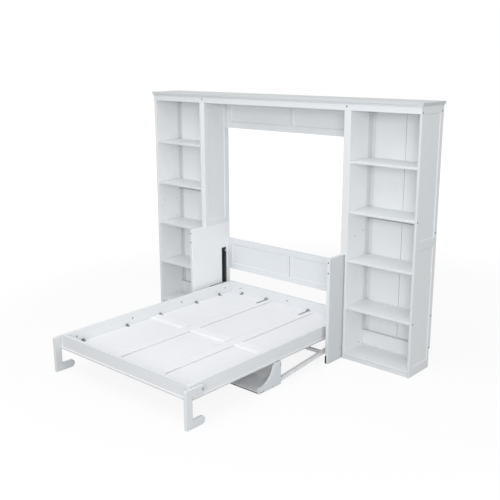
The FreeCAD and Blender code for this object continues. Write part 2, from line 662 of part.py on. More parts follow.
# Bed box: four rails on three base panels, with battens over the seams
def make_bed():
    foot = "(-bed_foot)"
    head = "(-bed_head)"
    tall = (RAIL_LOW, RAIL_TOP)
    top = number(RAIL_TOP)
    bush = "(pivot_pin + running_gap + pivot_bush_wall)"
    for side in SIDES:
        name = "bed_%s_rail" % side
        body = padded(name + "_board", "YZ_Plane", rectangle((foot, head), tall),
                      mirrored(side, RAIL_IN, "bed_half"))
        bevelled(body, "rail_bevel",
                 lambda edge: lies_at(edge, "z", top) and runs_along(edge, "y"), name + "_bevel")
        through = mirrored(side, "(%s - overrun)" % RAIL_IN, "(bed_half + overrun)")
        node(cut(name, body, [rod(name + "_bore", "x", through, BED_PIVOT, bush),
                              rod(name + "_leg_bore", "x", through, LEG_BOLT, "leg_bolt_shank")]))
    for name, deep in (("bed_foot_rail", (foot, "(-bed_foot + rail_thick)")),
                       ("bed_head_rail", ("(-bed_head - rail_thick)", head))):
        body = padded(name, "XZ_Plane", rectangle((minus(RAIL_IN), RAIL_IN), tall), deep)
        bevelled(body, "rail_bevel",
                 lambda edge: lies_at(edge, "z", top) and runs_along(edge, "x"), name + "_bevel")
        node(body)
    lip_foot = "(-bed_foot - base_lip)"
    lip_side = "(bed_half + base_lip)"
    field_deep = ("(%s + stile_wide)" % lip_foot, "(%s - stile_wide)" % head)
    foot_edge = number(lip_foot)
    for part, low, high in (("left", minus(lip_side), minus("seam_place")),
                            ("centre", minus("seam_place"), "seam_place"),
                            ("right", "seam_place", lip_side)):
        name = "bed_base_%s" % part
        body = padded(name, "XY_Plane", rectangle((low, high), (lip_foot, head)), ("base_level", RAIL_LOW))
        field_wide = ("(%s + stile_wide)" % low, "(%s - stile_wide)" % high)
        pocketed(body, "XY_Plane", name + "_field",
                 lambda sketch: outline(sketch, rectangle(field_wide, field_deep)), "panel_sink", "0", True)
        side_edge = number(low if part == "left" else high)

        def on_lip(edge):
            if runs_along(edge, "x"):
                return lies_at(edge, "y", foot_edge)
            return part != "centre" and runs_along(edge, "y") and lies_at(edge, "x", side_edge)

        bevelled(body, "base_bevel", on_lip, name + "_bevel")
        node(body)


def batten_outline(middle, half):
    """Section of a deck batten: a bevel on one edge, and a lip over a narrow gap on the other."""
    top = "(%s + deck_batten_high)" % RAIL_LOW
    near = "(%s - %s)" % (middle, half)
    far = "(%s + %s)" % (middle, half)
    gap_top = "(%s + batten_lip)" % RAIL_LOW
    return [(near, RAIL_LOW), ("(%s - batten_lip)" % far, RAIL_LOW), ("(%s - batten_lip)" % far, gap_top),
            (far, gap_top), (far, top), ("(%s + deck_batten_bevel)" % near, top),
            (near, "(%s + batten_step)" % RAIL_LOW)]


def make_deck():
    half = "(deck_batten_wide / 2)"
    length = ("(-bed_foot + rail_thick)", "(-bed_head - rail_thick)")
    for side in SIDES:
        section = batten_outline(placed(side, "seam_place"), half)
        node(padded("deck_batten_" + side, "XZ_Plane", section, length))
    cross = batten_outline("(-cross_batten_place)", half)
    inner = "(seam_place - %s)" % half
    outer = "(seam_place + %s)" % half
    spans = [(minus(RAIL_IN), minus(outer)), (minus(inner), inner), (outer, RAIL_IN)]
    pieces = [padded("deck_cross_batten_%d" % index, "YZ_Plane", cross, span)
              for index, span in enumerate(spans)]
    node(grouped("deck_cross_battens", pieces))


def angle_bracket(name, corner, facing, middle):
    """Small angle on the deck and the rail. Facing is the axis and direction away from the rail."""
    axis, way = facing
    low = RAIL_LOW
    out = "(%s %s bracket_long)" % (corner, way)
    sheet_side = "(%s %s bracket_thick)" % (corner, way)
    flat_run = (corner, out) if way == "+" else (out, corner)
    up_run = (corner, sheet_side) if way == "+" else (sheet_side, corner)
    wide = ("(%s - bracket_wide / 2)" % middle, "(%s + bracket_wide / 2)" % middle)
    tall = (low, "(%s + bracket_up)" % low)
    thin = (low, "(%s + bracket_thick)" % low)
    if axis == "x":
        pieces = [block(name + "_flat", flat_run, wide, thin), block(name + "_up", up_run, wide, tall)]
    else:
        pieces = [block(name + "_flat", wide, flat_run, thin), block(name + "_up", wide, up_run, tall)]
    return joined(name, pieces)


def make_bed_fittings():
    foot_face = "(-bed_foot + rail_thick)"
    head_face = "(-bed_head - rail_thick)"
    brackets = []
    for side in SIDES:
        corner = placed(side, RAIL_IN)
        way = "-" if side == "right" else "+"
        for place in BRACKET_PLACES:
            brackets.append(angle_bracket("rail_%s_%s" % (place, side), corner, ("x", way), minus(place)))
        for end, face, turn in (("foot", foot_face, "+"), ("head", head_face, "-")):
            brackets.append(angle_bracket("rail_bracket_%s_%s" % (side, end), face, ("y", turn),
                                          placed(side, "end_bracket_place")))
    node(grouped("rail_brackets", brackets))
    straps = []
    level = "(%s + deck_batten_high)" % RAIL_LOW
    for side in SIDES:
        middle = placed(side, "seam_place")
        wide = ("(%s - strap_wide / 2)" % middle, "(%s + strap_wide / 2)" % middle)
        flat = block("strap_flat_" + side, wide, ("(%s - strap_long)" % head_face, head_face),
                     (level, "(%s + bracket_thick)" % level))
        up = block("strap_up_" + side, wide, ("(%s - bracket_thick)" % head_face, head_face),
                   (level, "(%s + strap_up)" % level))
        straps.append(joined("strap_" + side, [flat, up]))
    node(grouped("head_straps", straps))
    bolts = []
    level = "(%s - bolt_drop)" % RAIL_TOP
    for side in SIDES:
        heads = mirrored(side, "(%s - bolt_head_high)" % RAIL_IN, RAIL_IN)
        for index in range(SIDE_BOLTS):
            place = "(-bed_foot + bolt_foot_inset + %d / %d * side_bolt_run)" % (index, SIDE_BOLTS - 1)
            name = "side_bolt_%s_%d" % (side, index)
            bolts.append(fastener(name, "x", heads, (place, level), "bolt_head", HEX_COUNT))
    for end, span in (("foot", (foot_face, "(%s + bolt_head_high)" % foot_face)),
                      ("head", ("(%s - bolt_head_high)" % head_face, head_face))):
        for index, across in enumerate((minus("end_bolt_place"), "0", "end_bolt_place")):
            name = "end_bolt_%s_%d" % (end, index)
            bolts.append(fastener(name, "y", span, (across, level), "bolt_head", HEX_COUNT))
    node(grouped("bed_bolts", bolts))


# Bed pivots: pins in the cheeks, bushed fittings on the rails
def make_pivots():
    pins = []
    for side in SIDES:
        span = mirrored(side, RAIL_IN, "(bay_half + cheek_thick)")
        pins.append(rod(side + "_bed_pin", "x", span, BED_PIVOT, "pivot_pin"))
    node(grouped("bed_pivot_pins", pins))
    fittings = []
    for side in SIDES:
        name = side + "_bed_fitting"
        plate_span = mirrored(side, "bed_half", "(bed_half + fitting_thick)")
        bush = rod(name + "_bush", "x", mirrored(side, RAIL_IN, "(bed_half + fitting_thick)"), BED_PIVOT,
                   "(pivot_pin + running_gap + pivot_bush_wall)")
        plate = block(name + "_bar", plate_span,
                      ("(-bed_pivot_out - fitting_half)", "(-strut_end_out + fitting_half)"),
                      ("(bed_pivot_up - fitting_half)", "(bed_pivot_up + fitting_half)"))
        stud_end = "(strut_middle - strut_eye_thick / 2 - side_gap)"
        stud = rod(name + "_stud", "x", mirrored(side, "bed_half", stud_end), STRUT_END, "strut_pin")
        through = mirrored(side, "(%s - overrun)" % RAIL_IN, "(bay_half)")
        fittings.append(cut(name, joined(name + "_solid", [bush, plate, stud]),
                            [rod(name + "_bore", "x", through, BED_PIVOT, "(pivot_pin + running_gap)")]))
    node(grouped("bed_pivot_fittings", fittings))


# C-shaped legs that hang on one bolt each
def make_legs():
    front = "(-leg_out)"
    inner = "(-leg_out + leg_bar)"
    foot_middle = "(-leg_foot_end - leg_bar / 2)"
    low_arm = "(leg_bolt_up - leg_bar / 2)"
    high_arm = "(leg_bolt_up + leg_bar / 2)"
    shape = [(front, "0"), (foot_middle, "0", foot_middle, "(leg_bar / 2)", 1), (foot_middle, "leg_bar"),
             (inner, "leg_bar"), (inner, low_arm), (LEG_BOLT[0], low_arm, LEG_BOLT[0], LEG_BOLT[1], 1),
             (LEG_BOLT[0], high_arm), (front, high_arm)]
    corner = number(front)
    faces = (0, number("leg_thick"))
    bolts = []
    for side in SIDES:
        name = side + "_leg"
        span = mirrored(side, "leg_inner", "(leg_inner + leg_thick)")
        body = padded(name + "_bar", "YZ_Plane", shape, span)
        eased(body, "Fillet", "leg_corner",
              lambda edge: runs_along(edge, "x") and lies_at(edge, "y", corner), name + "_corners")
        bevelled(body, "leg_edge",
                 lambda edge: any(lies_at(edge, "x", place) for place in faces), name + "_edges")
        outer_face = "(leg_inner + leg_thick)"
        through = mirrored(side, "(leg_inner - overrun)", "(%s + overrun)" % outer_face)
        sink = mirrored(side, "(%s - leg_bolt_sink)" % outer_face, "(%s + overrun)" % outer_face)
        node(cut(name, body, [rod(name + "_bore", "x", through, LEG_BOLT, "(leg_bolt_shank + running_gap)"),
                              rod(name + "_sink", "x", sink, LEG_BOLT, "(leg_bolt_head + side_gap / 2)")]))
        bolt_end = "(%s - side_gap)" % outer_face
        shank = rod(name + "_shank", "x", mirrored(side, RAIL_IN, bolt_end), LEG_BOLT, "leg_bolt_shank")
        washer_span = mirrored(side, "bed_half", "(leg_inner - running_gap)")
        washer = fastener(name + "_washer", "x", washer_span, LEG_BOLT, "leg_bolt_head", HEX_COUNT)
        head_low = "(%s - leg_bolt_sink + running_gap)" % outer_face
        head = fastener(name + "_head", "x", mirrored(side, head_low, bolt_end), LEG_BOLT,
                        "leg_bolt_head", HEX_COUNT)
        bolts.append(joined(name + "_bolt", [shank, washer, head]))
    node(grouped("leg_bolts", bolts))


# Desk that hangs under the bed and stays level
def make_desk():
    front = "(-desk_front)"
    toe = "(-desk_front + desk_toe_long)"
    centre = (toe, "(desk_toe_high + desk_curve)")
    reach = "sqrt(desk_curve^2 - (desk_toe_high + desk_curve - %s)^2)" % DESK_TOP
    shoulder = "(%s + %s)" % (toe, reach)
    shape = [(front, "desk_level"), (DESK_REAR, "desk_level"),
             (DESK_REAR, DESK_PIVOT[1], DESK_PIVOT[0], DESK_PIVOT[1], 1), (DESK_PIVOT[0], DESK_TOP),
             (shoulder, DESK_TOP, centre[0], centre[1], -1), (toe, "desk_toe_high"), (front, "desk_toe_high")]
    notch_front = "(%s - link_bar)" % LINK_FRONT[0]
    board_top = "(desk_level + desktop_thick)"
    notch_in = "(%s - link_gap)" % LINK_INNER
    board = [(minus(DESK_IN), front), (DESK_IN, front), (DESK_IN, notch_front), (notch_in, notch_front),
             (notch_in, DESK_REAR), (minus(notch_in), DESK_REAR), (minus(notch_in), notch_front),
             (minus(DESK_IN), notch_front)]
    node(padded("desktop", "XY_Plane", board, ("desk_level", board_top)))
    for side in SIDES:
        name = "desk_%s_side" % side
        body = padded(name + "_board", "YZ_Plane", shape, mirrored(side, DESK_IN, "desk_half"))
        through = mirrored(side, "(%s - overrun)" % DESK_IN, "(desk_half - side_gap)")
        node(cut(name, body, [rod(name + "_top_bore", "x", through, DESK_PIVOT, "desk_pin"),
                              rod(name + "_low_bore", "x", through, LINK_FRONT, "link_pin")]))
    back_rear = "(%s - desk_back_inset)" % DESK_REAR
    clear = "(desk_level + desktop_thick + link_bar)"
    back_top = "(%s - desk_back_drop)" % DESK_TOP
    panel = [(minus(notch_in), board_top), (notch_in, board_top), (notch_in, clear), (DESK_IN, clear),
             (DESK_IN, back_top), (minus(DESK_IN), back_top), (minus(DESK_IN), clear),
             (minus(notch_in), clear)]
    node(padded("desk_back", "XZ_Plane", panel, ("(%s - desk_side_thick)" % back_rear, back_rear)))
    pins = []
    hangers = []
    ear_out = "(%s - link_gap)" % DESK_IN
    ear_in = "(%s - hanger_thick)" % ear_out
    pin_end = "(desk_half - side_gap)"
    for side in SIDES:
        upper_span = mirrored(side, ear_in, pin_end)
        lower_span = mirrored(side, LINK_INNER, pin_end)
        pins.append(rod(side + "_desk_pin", "x", upper_span, DESK_PIVOT, "desk_pin"))
        pins.append(rod(side + "_desk_link_pin", "x", lower_span, LINK_FRONT, "link_pin"))
        name = side + "_hanger"
        flange = block(name + "_flange", mirrored(side, "(%s - hanger_wide)" % ear_out, ear_out),
                       ("(-desk_pivot_out - hanger_long / 2)", "(-desk_pivot_out + hanger_long / 2)"),
                       ("(base_level - hanger_thick)", "base_level"))
        ear_span = mirrored(side, ear_in, ear_out)
        ear_deep = ("(-desk_pivot_out - desk_corner)", "(-desk_pivot_out + desk_corner)")
        ear = block(name + "_ear", ear_span, ear_deep, ("desk_pivot_up", "base_level"))
        tip = fastener(name + "_tip", "x", ear_span, DESK_PIVOT, "desk_corner", OCTAGON_COUNT)
        through = mirrored(side, "(%s - overrun)" % ear_in, "(%s + overrun)" % ear_out)
        bore = rod(name + "_bore", "x", through, DESK_PIVOT, "(desk_pin + running_gap)")
        hangers.append(cut(name, joined(name + "_solid", [flange, ear, tip]), [bore]))
    node(grouped("desk_pins", pins))
    node(grouped("desk_hangers", hangers))


# Link frame: two arms and a square cross tube that keep the desk level
def make_link():
    off_y = "(link_bar / 2 * %s / %s)" % (LINK_FALL, LINK_SPAN)
    off_z = "(link_bar / 2 * %s / %s)" % (LINK_RUN, LINK_SPAN)

    def below(point):
        return ("(%s + %s)" % (point[0], off_y), "(%s - %s)" % (point[1], off_z))

    def above(point):
        return ("(%s - %s)" % (point[0], off_y), "(%s + %s)" % (point[1], off_z))

    low_rear = below(LINK_REAR)
    low_front = below(LINK_FRONT)
    high_rear = above(LINK_REAR)
    high_front = above(LINK_FRONT)
    shape = [low_front, low_rear + LINK_REAR + (1,), high_rear, high_front + LINK_FRONT + (1,)]
    pieces = []
    bores = []
    for side in SIDES:
        span = mirrored(side, LINK_INNER, LINK_OUTER)
        pieces.append(padded(side + "_link_arm", "YZ_Plane", shape, span))
        through = mirrored(side, "(%s - overrun)" % LINK_INNER, "(%s + overrun)" % LINK_OUTER)
        bores.append(rod(side + "_link_rear_bore", "x", through, LINK_REAR, "(link_pin + running_gap)"))
        bores.append(rod(side + "_link_front_bore", "x", through, LINK_FRONT, "(link_pin + open_gap)"))
    level = "(link_pivot_up - (cross_tube_out - link_pivot_out) * %s / %s)" % (LINK_FALL, LINK_RUN)
    across = (minus(LINK_INNER), LINK_INNER)

    def square(size):
        return (("(-cross_tube_out - %s / 2)" % size, "(-cross_tube_out + %s / 2)" % size),
                ("(%s - %s / 2)" % (level, size), "(%s + %s / 2)" % (level, size)))

    outside = block("cross_tube_outside", across, *square("cross_tube_size"))
    hollow = block("cross_tube_hollow", across, *square("(cross_tube_size - 2 * cross_tube_wall)"))
    tube = cut("cross_tube", outside, [hollow])
    node(cut("desk_link_frame", joined("link_weldment", pieces + [tube]), bores))
    pins = []
    for side in SIDES:
        shank_span = mirrored(side, LINK_INNER, "(bay_half + cheek_thick)")
        collar_span = mirrored(side, "(%s + running_gap)" % LINK_OUTER, "bay_half")
        shank = rod(side + "_link_pin_shank", "x", shank_span, LINK_REAR, "link_pin")
        collar = fastener(side + "_link_pin_collar", "x", collar_span, LINK_REAR, "link_collar", HEX_COUNT)
        pins.append(joined(side + "_link_pin", [shank, collar]))
    node(grouped("link_pivot_pins", pins))


# Gas struts: a turned cylinder with its cavity, and a rod with its piston
def turned(name, side, points):
    """Body turned about the vertical strut axis; points are (radius, height)."""
    body = doc.addObject("PartDesign::Body", name)
    body.Label = name
    sketch = sketch_on(body, "XZ_Plane", name + "_half_section")
    outline(sketch, points)
    turn = body.newObject("PartDesign::Revolution", name + "_turn")
    turn.Profile = sketch
    turn.ReferenceAxis = (sketch, ["V_Axis"])
    turn.Angle = FULL_TURN
    body.setExpression("Placement.Base.x", bound(placed(side, "strut_middle")))
    body.setExpression("Placement.Base.y", bound("(-strut_top_out)"))
    doc.recompute()
    return body


def make_struts():
    top = "(strut_top_up - strut_eye + side_gap)"
    mouth = "(bed_pivot_up + strut_eye + strut_rod_show)"
    inside = "(strut_body - strut_wall)"
    guide = "(strut_rod + running_gap)"
    chamber_top = "(%s - strut_cap)" % top
    chamber_low = "(%s + strut_cap)" % mouth
    cylinder_shape = [("0", chamber_top), (inside, chamber_top), (inside, chamber_low), (guide, chamber_low),
                      (guide, mouth), ("strut_body", mouth), ("strut_body", top), ("0", top)]
    rod_top = "(%s - strut_cap - side_gap)" % top
    piston_rim = "(%s - running_gap)" % inside
    rod_low = "(bed_pivot_up + strut_eye - side_gap)"
    rod_shape = [("0", rod_low), ("strut_rod", rod_low), ("strut_rod", "(%s - piston_long)" % rod_top),
                 (piston_rim, "(%s - piston_long)" % rod_top), (piston_rim, rod_top), ("0", rod_top)]
    for side in SIDES:
        eye_in = "(strut_middle - strut_eye_thick / 2)"
        eye_span = mirrored(side, eye_in, "(strut_middle + strut_eye_thick / 2)")
        through = mirrored(side, "(strut_middle - strut_eye_thick)", "(strut_middle + strut_eye_thick)")
        name = side + "_strut_cylinder"
        tube = turned(name + "_tube", side, cylinder_shape)
        eye = fastener(name + "_eye", "x", eye_span, STRUT_TOP, "strut_eye", OCTAGON_COUNT)
        bore = rod(name + "_bore", "x", through, STRUT_TOP, "(strut_pin + running_gap)")
        node(cut(name, joined(name + "_solid", [tube, eye]), [bore]))
        name = side + "_strut_rod"
        shaft = turned(name + "_shaft", side, rod_shape)
        eye = fastener(name + "_eye", "x", eye_span, STRUT_END, "strut_eye", OCTAGON_COUNT)
        bore = rod(name + "_bore", "x", through, STRUT_END, "(strut_pin + open_gap)")
        node(cut(name, joined(name + "_solid", [shaft, eye]), [bore]))
        name = side + "_strut_plate"
        plate = block(name + "_sheet", mirrored(side, "(bay_half - plate_thick)", "bay_half"),
                      ("(-strut_top_out - plate_front)", "(-strut_top_out + plate_rear)"),
                      ("plate_low", "(plate_low + plate_high)"))
        stud = rod(name + "_stud", "x", mirrored(side, eye_in, "bay_half"), STRUT_TOP, "strut_pin")
        node(joined(name, [plate, stud]))


# Screw heads that show on the cabinet
def make_screws():
    heads = []
    front = "(%s + screw_in)" % FRONT
    rear = "(-rear_stile_wide / 2)"
    high = "(%s + screw_up)" % FASCIA_LOW
    upper_shelf = "(%s - board_thick / 2)" % shelf_level(UPPER_FIXED)
    lower_shelf = "(%s - board_thick / 2)" % shelf_level(LOWER_FIXED)
    over_rail = "(middle_rail_low + middle_rail_high + screw_over_rail)"
    rows = [(front, high), (front, upper_shelf), (front, lower_shelf), (rear, high), (rear, over_rail),
            (rear, lower_shelf), (rear, "(skirting_high + screw_in / 2)")]

    def screw(name, axis, span, place):
        heads.append(fastener(name, axis, span, place, "screw_head", HEX_COUNT))

    for side in SIDES:
        span = mirrored(side, "tower_half", "(tower_half + screw_head_high)")
        for index, place in enumerate(rows):
            screw("side_screw_%s_%d" % (side, index), "x", span, place)
        face = "(%s - fascia_proud)" % FRONT
        place = (placed(side, "(bay_half + upper_side_thick / 2)"), "(%s + fascia_high / 2)" % FASCIA_LOW)
        screw("fascia_screw_" + side, "y", ("(%s - screw_head_high)" % face, face), place)
        middle = placed(side, "(bay_half + cheek_thick / 2)")
        edge = ("(-cheek_deep - screw_head_high)", "(-cheek_deep)")
        for level in ("cheek_screw_high", "cheek_screw_middle", "cheek_screw_low"):
            screw("%s_%s" % (level, side), "y", edge, (middle, level))
    node(grouped("cabinet_screws", heads))


make_top()
make_tower_sides()
make_tower_boards()
make_bay()
make_bed()
make_deck()
make_bed_fittings()
make_pivots()
make_legs()
make_desk()
make_link()
make_struts()
make_screws()
doc.recompute()

# Every object has to be sound before anything is written
for item in doc.Objects:
    if "Invalid" in item.State or "Error" in item.State:
        raise ValueError("%s is not sound: %s" % (item.Name, item.State))
for piece in nodes:
    if piece.Shape.isNull() or not piece.Shape.isValid() or not piece.Shape.Solids:
        raise ValueError("no valid solid in " + piece.Label)
for piece in nodes:
    piece.Shape.exportStep("parts/%s.step" % piece.Label)
print("%d nodes, %d solids" % (len(nodes), sum(len(piece.Shape.Solids) for piece in nodes)))
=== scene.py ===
import math

import bmesh
import bpy
from mathutils import Matrix, Vector


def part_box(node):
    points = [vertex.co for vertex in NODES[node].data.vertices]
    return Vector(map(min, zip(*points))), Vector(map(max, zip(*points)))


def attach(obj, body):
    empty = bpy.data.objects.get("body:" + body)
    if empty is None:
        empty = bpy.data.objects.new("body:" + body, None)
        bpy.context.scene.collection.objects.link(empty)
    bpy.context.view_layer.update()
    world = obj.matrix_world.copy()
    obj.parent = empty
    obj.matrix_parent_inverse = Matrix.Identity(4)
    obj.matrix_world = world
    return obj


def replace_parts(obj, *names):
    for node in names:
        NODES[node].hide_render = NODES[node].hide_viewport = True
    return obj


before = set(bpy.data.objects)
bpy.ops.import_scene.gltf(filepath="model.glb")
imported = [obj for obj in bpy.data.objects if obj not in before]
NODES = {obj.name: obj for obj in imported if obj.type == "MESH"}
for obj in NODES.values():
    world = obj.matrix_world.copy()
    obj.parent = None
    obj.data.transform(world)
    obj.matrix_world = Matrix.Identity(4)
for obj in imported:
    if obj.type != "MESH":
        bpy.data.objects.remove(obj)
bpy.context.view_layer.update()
MM = 0.001

# Camera of the photograph
CAMERA_PLACE = Vector((4.0932, -5.1569, 2.4198))
CAMERA_VIEW = Vector((-0.64381, 0.72343, -0.24932))
CAMERA_ROLL = math.radians(-0.1985)
CAMERA_LENS = 54.117
CAMERA_REACH = 100.0
SENSOR = 36.0

# Colours as they are written in linear light. The white board paint comes in copies: the darker ones are
# painted shade and the lighter ones painted light, for how the light falls on each group of boards
WHITE = (1.0, 1.0, 1.0)
# Painted shade: the white paint made darker for the front group, the top board and the desk back; painted
# light: made lighter for the upper back panel, the deck and the pale boards
SHADED_FRONT_PAINT = (0.765, 0.790, 0.812)
BOARD_PAINT = (0.842, 0.860, 0.872)
LIT_PANEL_PAINT = (0.865, 0.885, 0.902)
LIT_DECK_PAINT = (0.900, 0.902, 0.925)
RAIL_PAINT = (0.835, 0.855, 0.868)
SHADED_TOP_PAINT = (0.62, 0.64, 0.65)
LINK_PAINT = (0.88, 0.895, 0.905)
# Painted shade: a darker copy of the white paint, for the channels beside the tower backs and the foot and
# head rails
PAINTED_SHADE = (0.78, 0.795, 0.81)
LIT_PAINT = (0.925, 0.935, 0.945)
SHADED_INSIDE_PAINT = (0.58, 0.59, 0.60)
STRAP_PAINT = (0.33, 0.335, 0.34)
# Greys of painted shade: in the gap between each rail and cheek, and under the battens
GAP_SHADE_GREY = (0.66, 0.675, 0.685)
SHADE_STRIP_GREY = (0.40, 0.405, 0.41)
# Greys of painted shade along the edges of the bed base and on the desktop's front edge
SHADE_GREY = (0.66, 0.665, 0.67)
DESK_SHADE_GREY = (0.21, 0.213, 0.218)
# Painted highlight: a paler copy of the white paint for the cross battens
HIGHLIGHT_CROSS_PAINT = (0.925, 0.927, 0.945)
BLACK_PAINT = (0.022, 0.023, 0.026)
DARK_STEEL = (0.095, 0.098, 0.102)
BRACKET_STEEL = (0.26, 0.265, 0.27)
GREY_STEEL = (0.30, 0.305, 0.31)
ZINC = (0.52, 0.53, 0.54)
PALE_ZINC = (0.66, 0.67, 0.68)
BLACK_RUBBER = (0.02, 0.02, 0.021)
FLOOR_WHITE = (0.55, 0.55, 0.55)

# Stretch of the textures, and their noise as (scale, detail, roughness)
EVEN = (1.0, 1.0, 1.0)
GRAINS = {"x": (0.06, 1.0, 1.0), "y": (1.0, 0.06, 1.0), "z": (1.0, 1.0, 0.06)}
TURNING = (6.0, 1.0, 1.0)
FIBRE_NOISE = (150.0, 5.0, 0.62)
ROLLER_NOISE = (620.0, 2.0, 0.5)
PEEL_NOISE = (900.0, 2.0, 0.5)
MARK_NOISE = (420.0, 3.0, 0.5)
WOOD_CLOUDS = (2.2, 2.0, 0.5)
STEEL_CLOUDS = (14.0, 3.0, 0.5)
ZINC_CLOUDS = (45.0, 3.0, 0.5)

# Tints that the textures mix in, and where each ramp begins and ends
FIBRE_TINT = 0.975
FIBRE_RAMP = (0.34, 0.62)
CLOUD_TINT = (0.985, 0.985, 0.98)
CLOUD_RAMP = (0.3, 0.7)
STEEL_TINT = 1.12
STEEL_RAMP = (0.35, 0.7)
ZINC_TINT = 1.25
ZINC_RAMP = (0.3, 0.7)
# Painted shade in the joints and inside corners: its tint, ramp, reach and samples
JOINT_TINT = (0.74, 0.755, 0.77)
JOINT_RAMP = (0.0, 0.75)
JOINT_REACH = 0.010
JOINT_SAMPLES = 8
# Painted shade on the faces that point to the front: where its ramp begins and ends, and how grey it makes
# shelves and uprights
FRONT_RAMP = (0.80, 0.95)
SHELF_FRONT_SHADE = 0.90
UPRIGHT_FRONT_SHADE = 0.84

# Gloss, the spread of the roughness, and relief as (strength, distance)
SATIN = 0.2
MATT = 0.1
WOOD_ROUGHNESS = (0.44, 0.58)
STEEL_SPREAD = (-0.06, 0.08)
ZINC_SPREAD = (-0.08, 0.12)
FIBRE_RELIEF = (0.10, 0.0006)
ROLLER_RELIEF = (0.05, 0.0003)
PEEL_RELIEF = (0.12, 0.0002)
MARK_RELIEF = (0.06, 0.0002)


# Node helpers
def new_material(name):
    material = bpy.data.materials.new(name)
    material.use_nodes = True
    tree = material.node_tree
    tree.nodes.clear()
    output = tree.nodes.new("ShaderNodeOutputMaterial")
    shader = tree.nodes.new("ShaderNodeBsdfPrincipled")
    tree.links.new(shader.outputs["BSDF"], output.inputs["Surface"])
    return material, tree, shader


def stretched_coordinates(tree, scale):
    where = tree.nodes.new("ShaderNodeTexCoord")
    mapping = tree.nodes.new("ShaderNodeMapping")
    mapping.inputs["Scale"].default_value = scale
    tree.links.new(where.outputs["Object"], mapping.inputs["Vector"])
    return mapping.outputs["Vector"]


def noise(tree, vector, kind):
    scale, detail, roughness = kind
    node = tree.nodes.new("ShaderNodeTexNoise")
    node.inputs["Scale"].default_value = scale
    node.inputs["Detail"].default_value = detail
    node.inputs["Roughness"].default_value = roughness
    tree.links.new(vector, node.inputs["Vector"])
    return node.outputs["Fac"]


def ramp(tree, value, positions, colours):
    node = tree.nodes.new("ShaderNodeValToRGB")
    for index in range(2):
        element = node.color_ramp.elements[index]
        element.position = positions[index]
        element.color = colours[index] + (1.0,)
    tree.links.new(value, node.inputs["Fac"])
    return node.outputs["Color"]


def spread(tree, value, low, high):
    node = tree.nodes.new("ShaderNodeMapRange")
    node.inputs["To Min"].default_value = low
    node.inputs["To Max"].default_value = high
    tree.links.new(value, node.inputs["Value"])
    return node.outputs["Result"]


def bump(tree, shader, value, relief, below=None):
    strength, distance = relief
    node = tree.nodes.new("ShaderNodeBump")
    node.inputs["Strength"].default_value = strength
    node.inputs["Distance"].default_value = distance
    tree.links.new(value, node.inputs["Height"])
    if below is not None:
        tree.links.new(below, node.inputs["Normal"])
    tree.links.new(node.outputs["Normal"], shader.inputs["Normal"])
    return node.outputs["Normal"]


def multiplied(tree, colour, other):
    """Product of two colours. The colour sockets of a Mix node are inputs 6 and 7 and output 2."""
    node = tree.nodes.new("ShaderNodeMix")
    node.data_type = "RGBA"
    node.blend_type = "MULTIPLY"
    node.inputs["Factor"].default_value = 1.0
    tree.links.new(colour, node.inputs[6])
    tree.links.new(other, node.inputs[7])
    return node.outputs[2]


def calculated(tree, operation, first, second):
    """Math node on a socket, with a second socket or a number."""
    node = tree.nodes.new("ShaderNodeMath")
    node.operation = operation
    tree.links.new(first, node.inputs[0])
    if isinstance(second, float):
        node.inputs[1].default_value = second
    else:
        tree.links.new(second, node.inputs[1])
    return node.outputs[0]


def mixed_shaders(tree, share, first, second, output):
    mix = tree.nodes.new("ShaderNodeMixShader")
    tree.links.new(share, mix.inputs["Fac"])
    tree.links.new(first, mix.inputs[1])
    tree.links.new(second, mix.inputs[2])
    tree.links.new(mix.outputs["Shader"], output.inputs["Surface"])


def joint_shade(tree):
    """Painted shade in the joints and inside corners between boards, darker where other faces are near; it
    also makes the fine line that paint and dust leave in a joint.
    """
    node = tree.nodes.new("ShaderNodeAmbientOcclusion")
    node.samples = JOINT_SAMPLES
    node.inputs["Distance"].default_value = JOINT_REACH
    return ramp(tree, node.outputs["AO"], JOINT_RAMP, (JOINT_TINT, WHITE))


def front_face_painted_shade(tree, shade):
    """Painted shade: a greyer tone on the faces that point to the front."""
    where = tree.nodes.new("ShaderNodeTexCoord")
    parts = tree.nodes.new("ShaderNodeSeparateXYZ")
    tree.links.new(where.outputs["Normal"], parts.inputs[0])
    front = calculated(tree, "MULTIPLY", parts.outputs["Y"], -1.0)
    return ramp(tree, front, FRONT_RAMP, (WHITE, (shade, shade, shade)))


def painted_wood(name, grain, colour, specular=SATIN, edge=1.0):
    """Satin paint on board: faint grain along the board, a roller texture, slightly uneven gloss, painted
    shade in the joints and inside corners, and, where edge is below 1, painted shade on the faces that point
    to the front.
    """
    material, tree, shader = new_material(name)
    along = stretched_coordinates(tree, GRAINS[grain])
    even = stretched_coordinates(tree, EVEN)
    fibres = noise(tree, along, FIBRE_NOISE)
    clouds = noise(tree, even, WOOD_CLOUDS)
    roller = noise(tree, even, ROLLER_NOISE)
    tint = tuple(part * FIBRE_TINT for part in colour)
    tone = ramp(tree, fibres, FIBRE_RAMP, (tint, colour))
    patches = ramp(tree, clouds, CLOUD_RAMP, (CLOUD_TINT, WHITE))
    toned = multiplied(tree, tone, patches)
    # Painted shade on the faces that point to the front
    if edge < 1.0:
        toned = multiplied(tree, toned, front_face_painted_shade(tree, edge))
    # Painted shade in the joints and inside corners
    tree.links.new(multiplied(tree, toned, joint_shade(tree)), shader.inputs["Base Color"])
    tree.links.new(spread(tree, clouds, *WOOD_ROUGHNESS), shader.inputs["Roughness"])
    first = bump(tree, shader, fibres, FIBRE_RELIEF)
    bump(tree, shader, roller, ROLLER_RELIEF, first)
    shader.inputs["Specular IOR Level"].default_value = specular
    return material


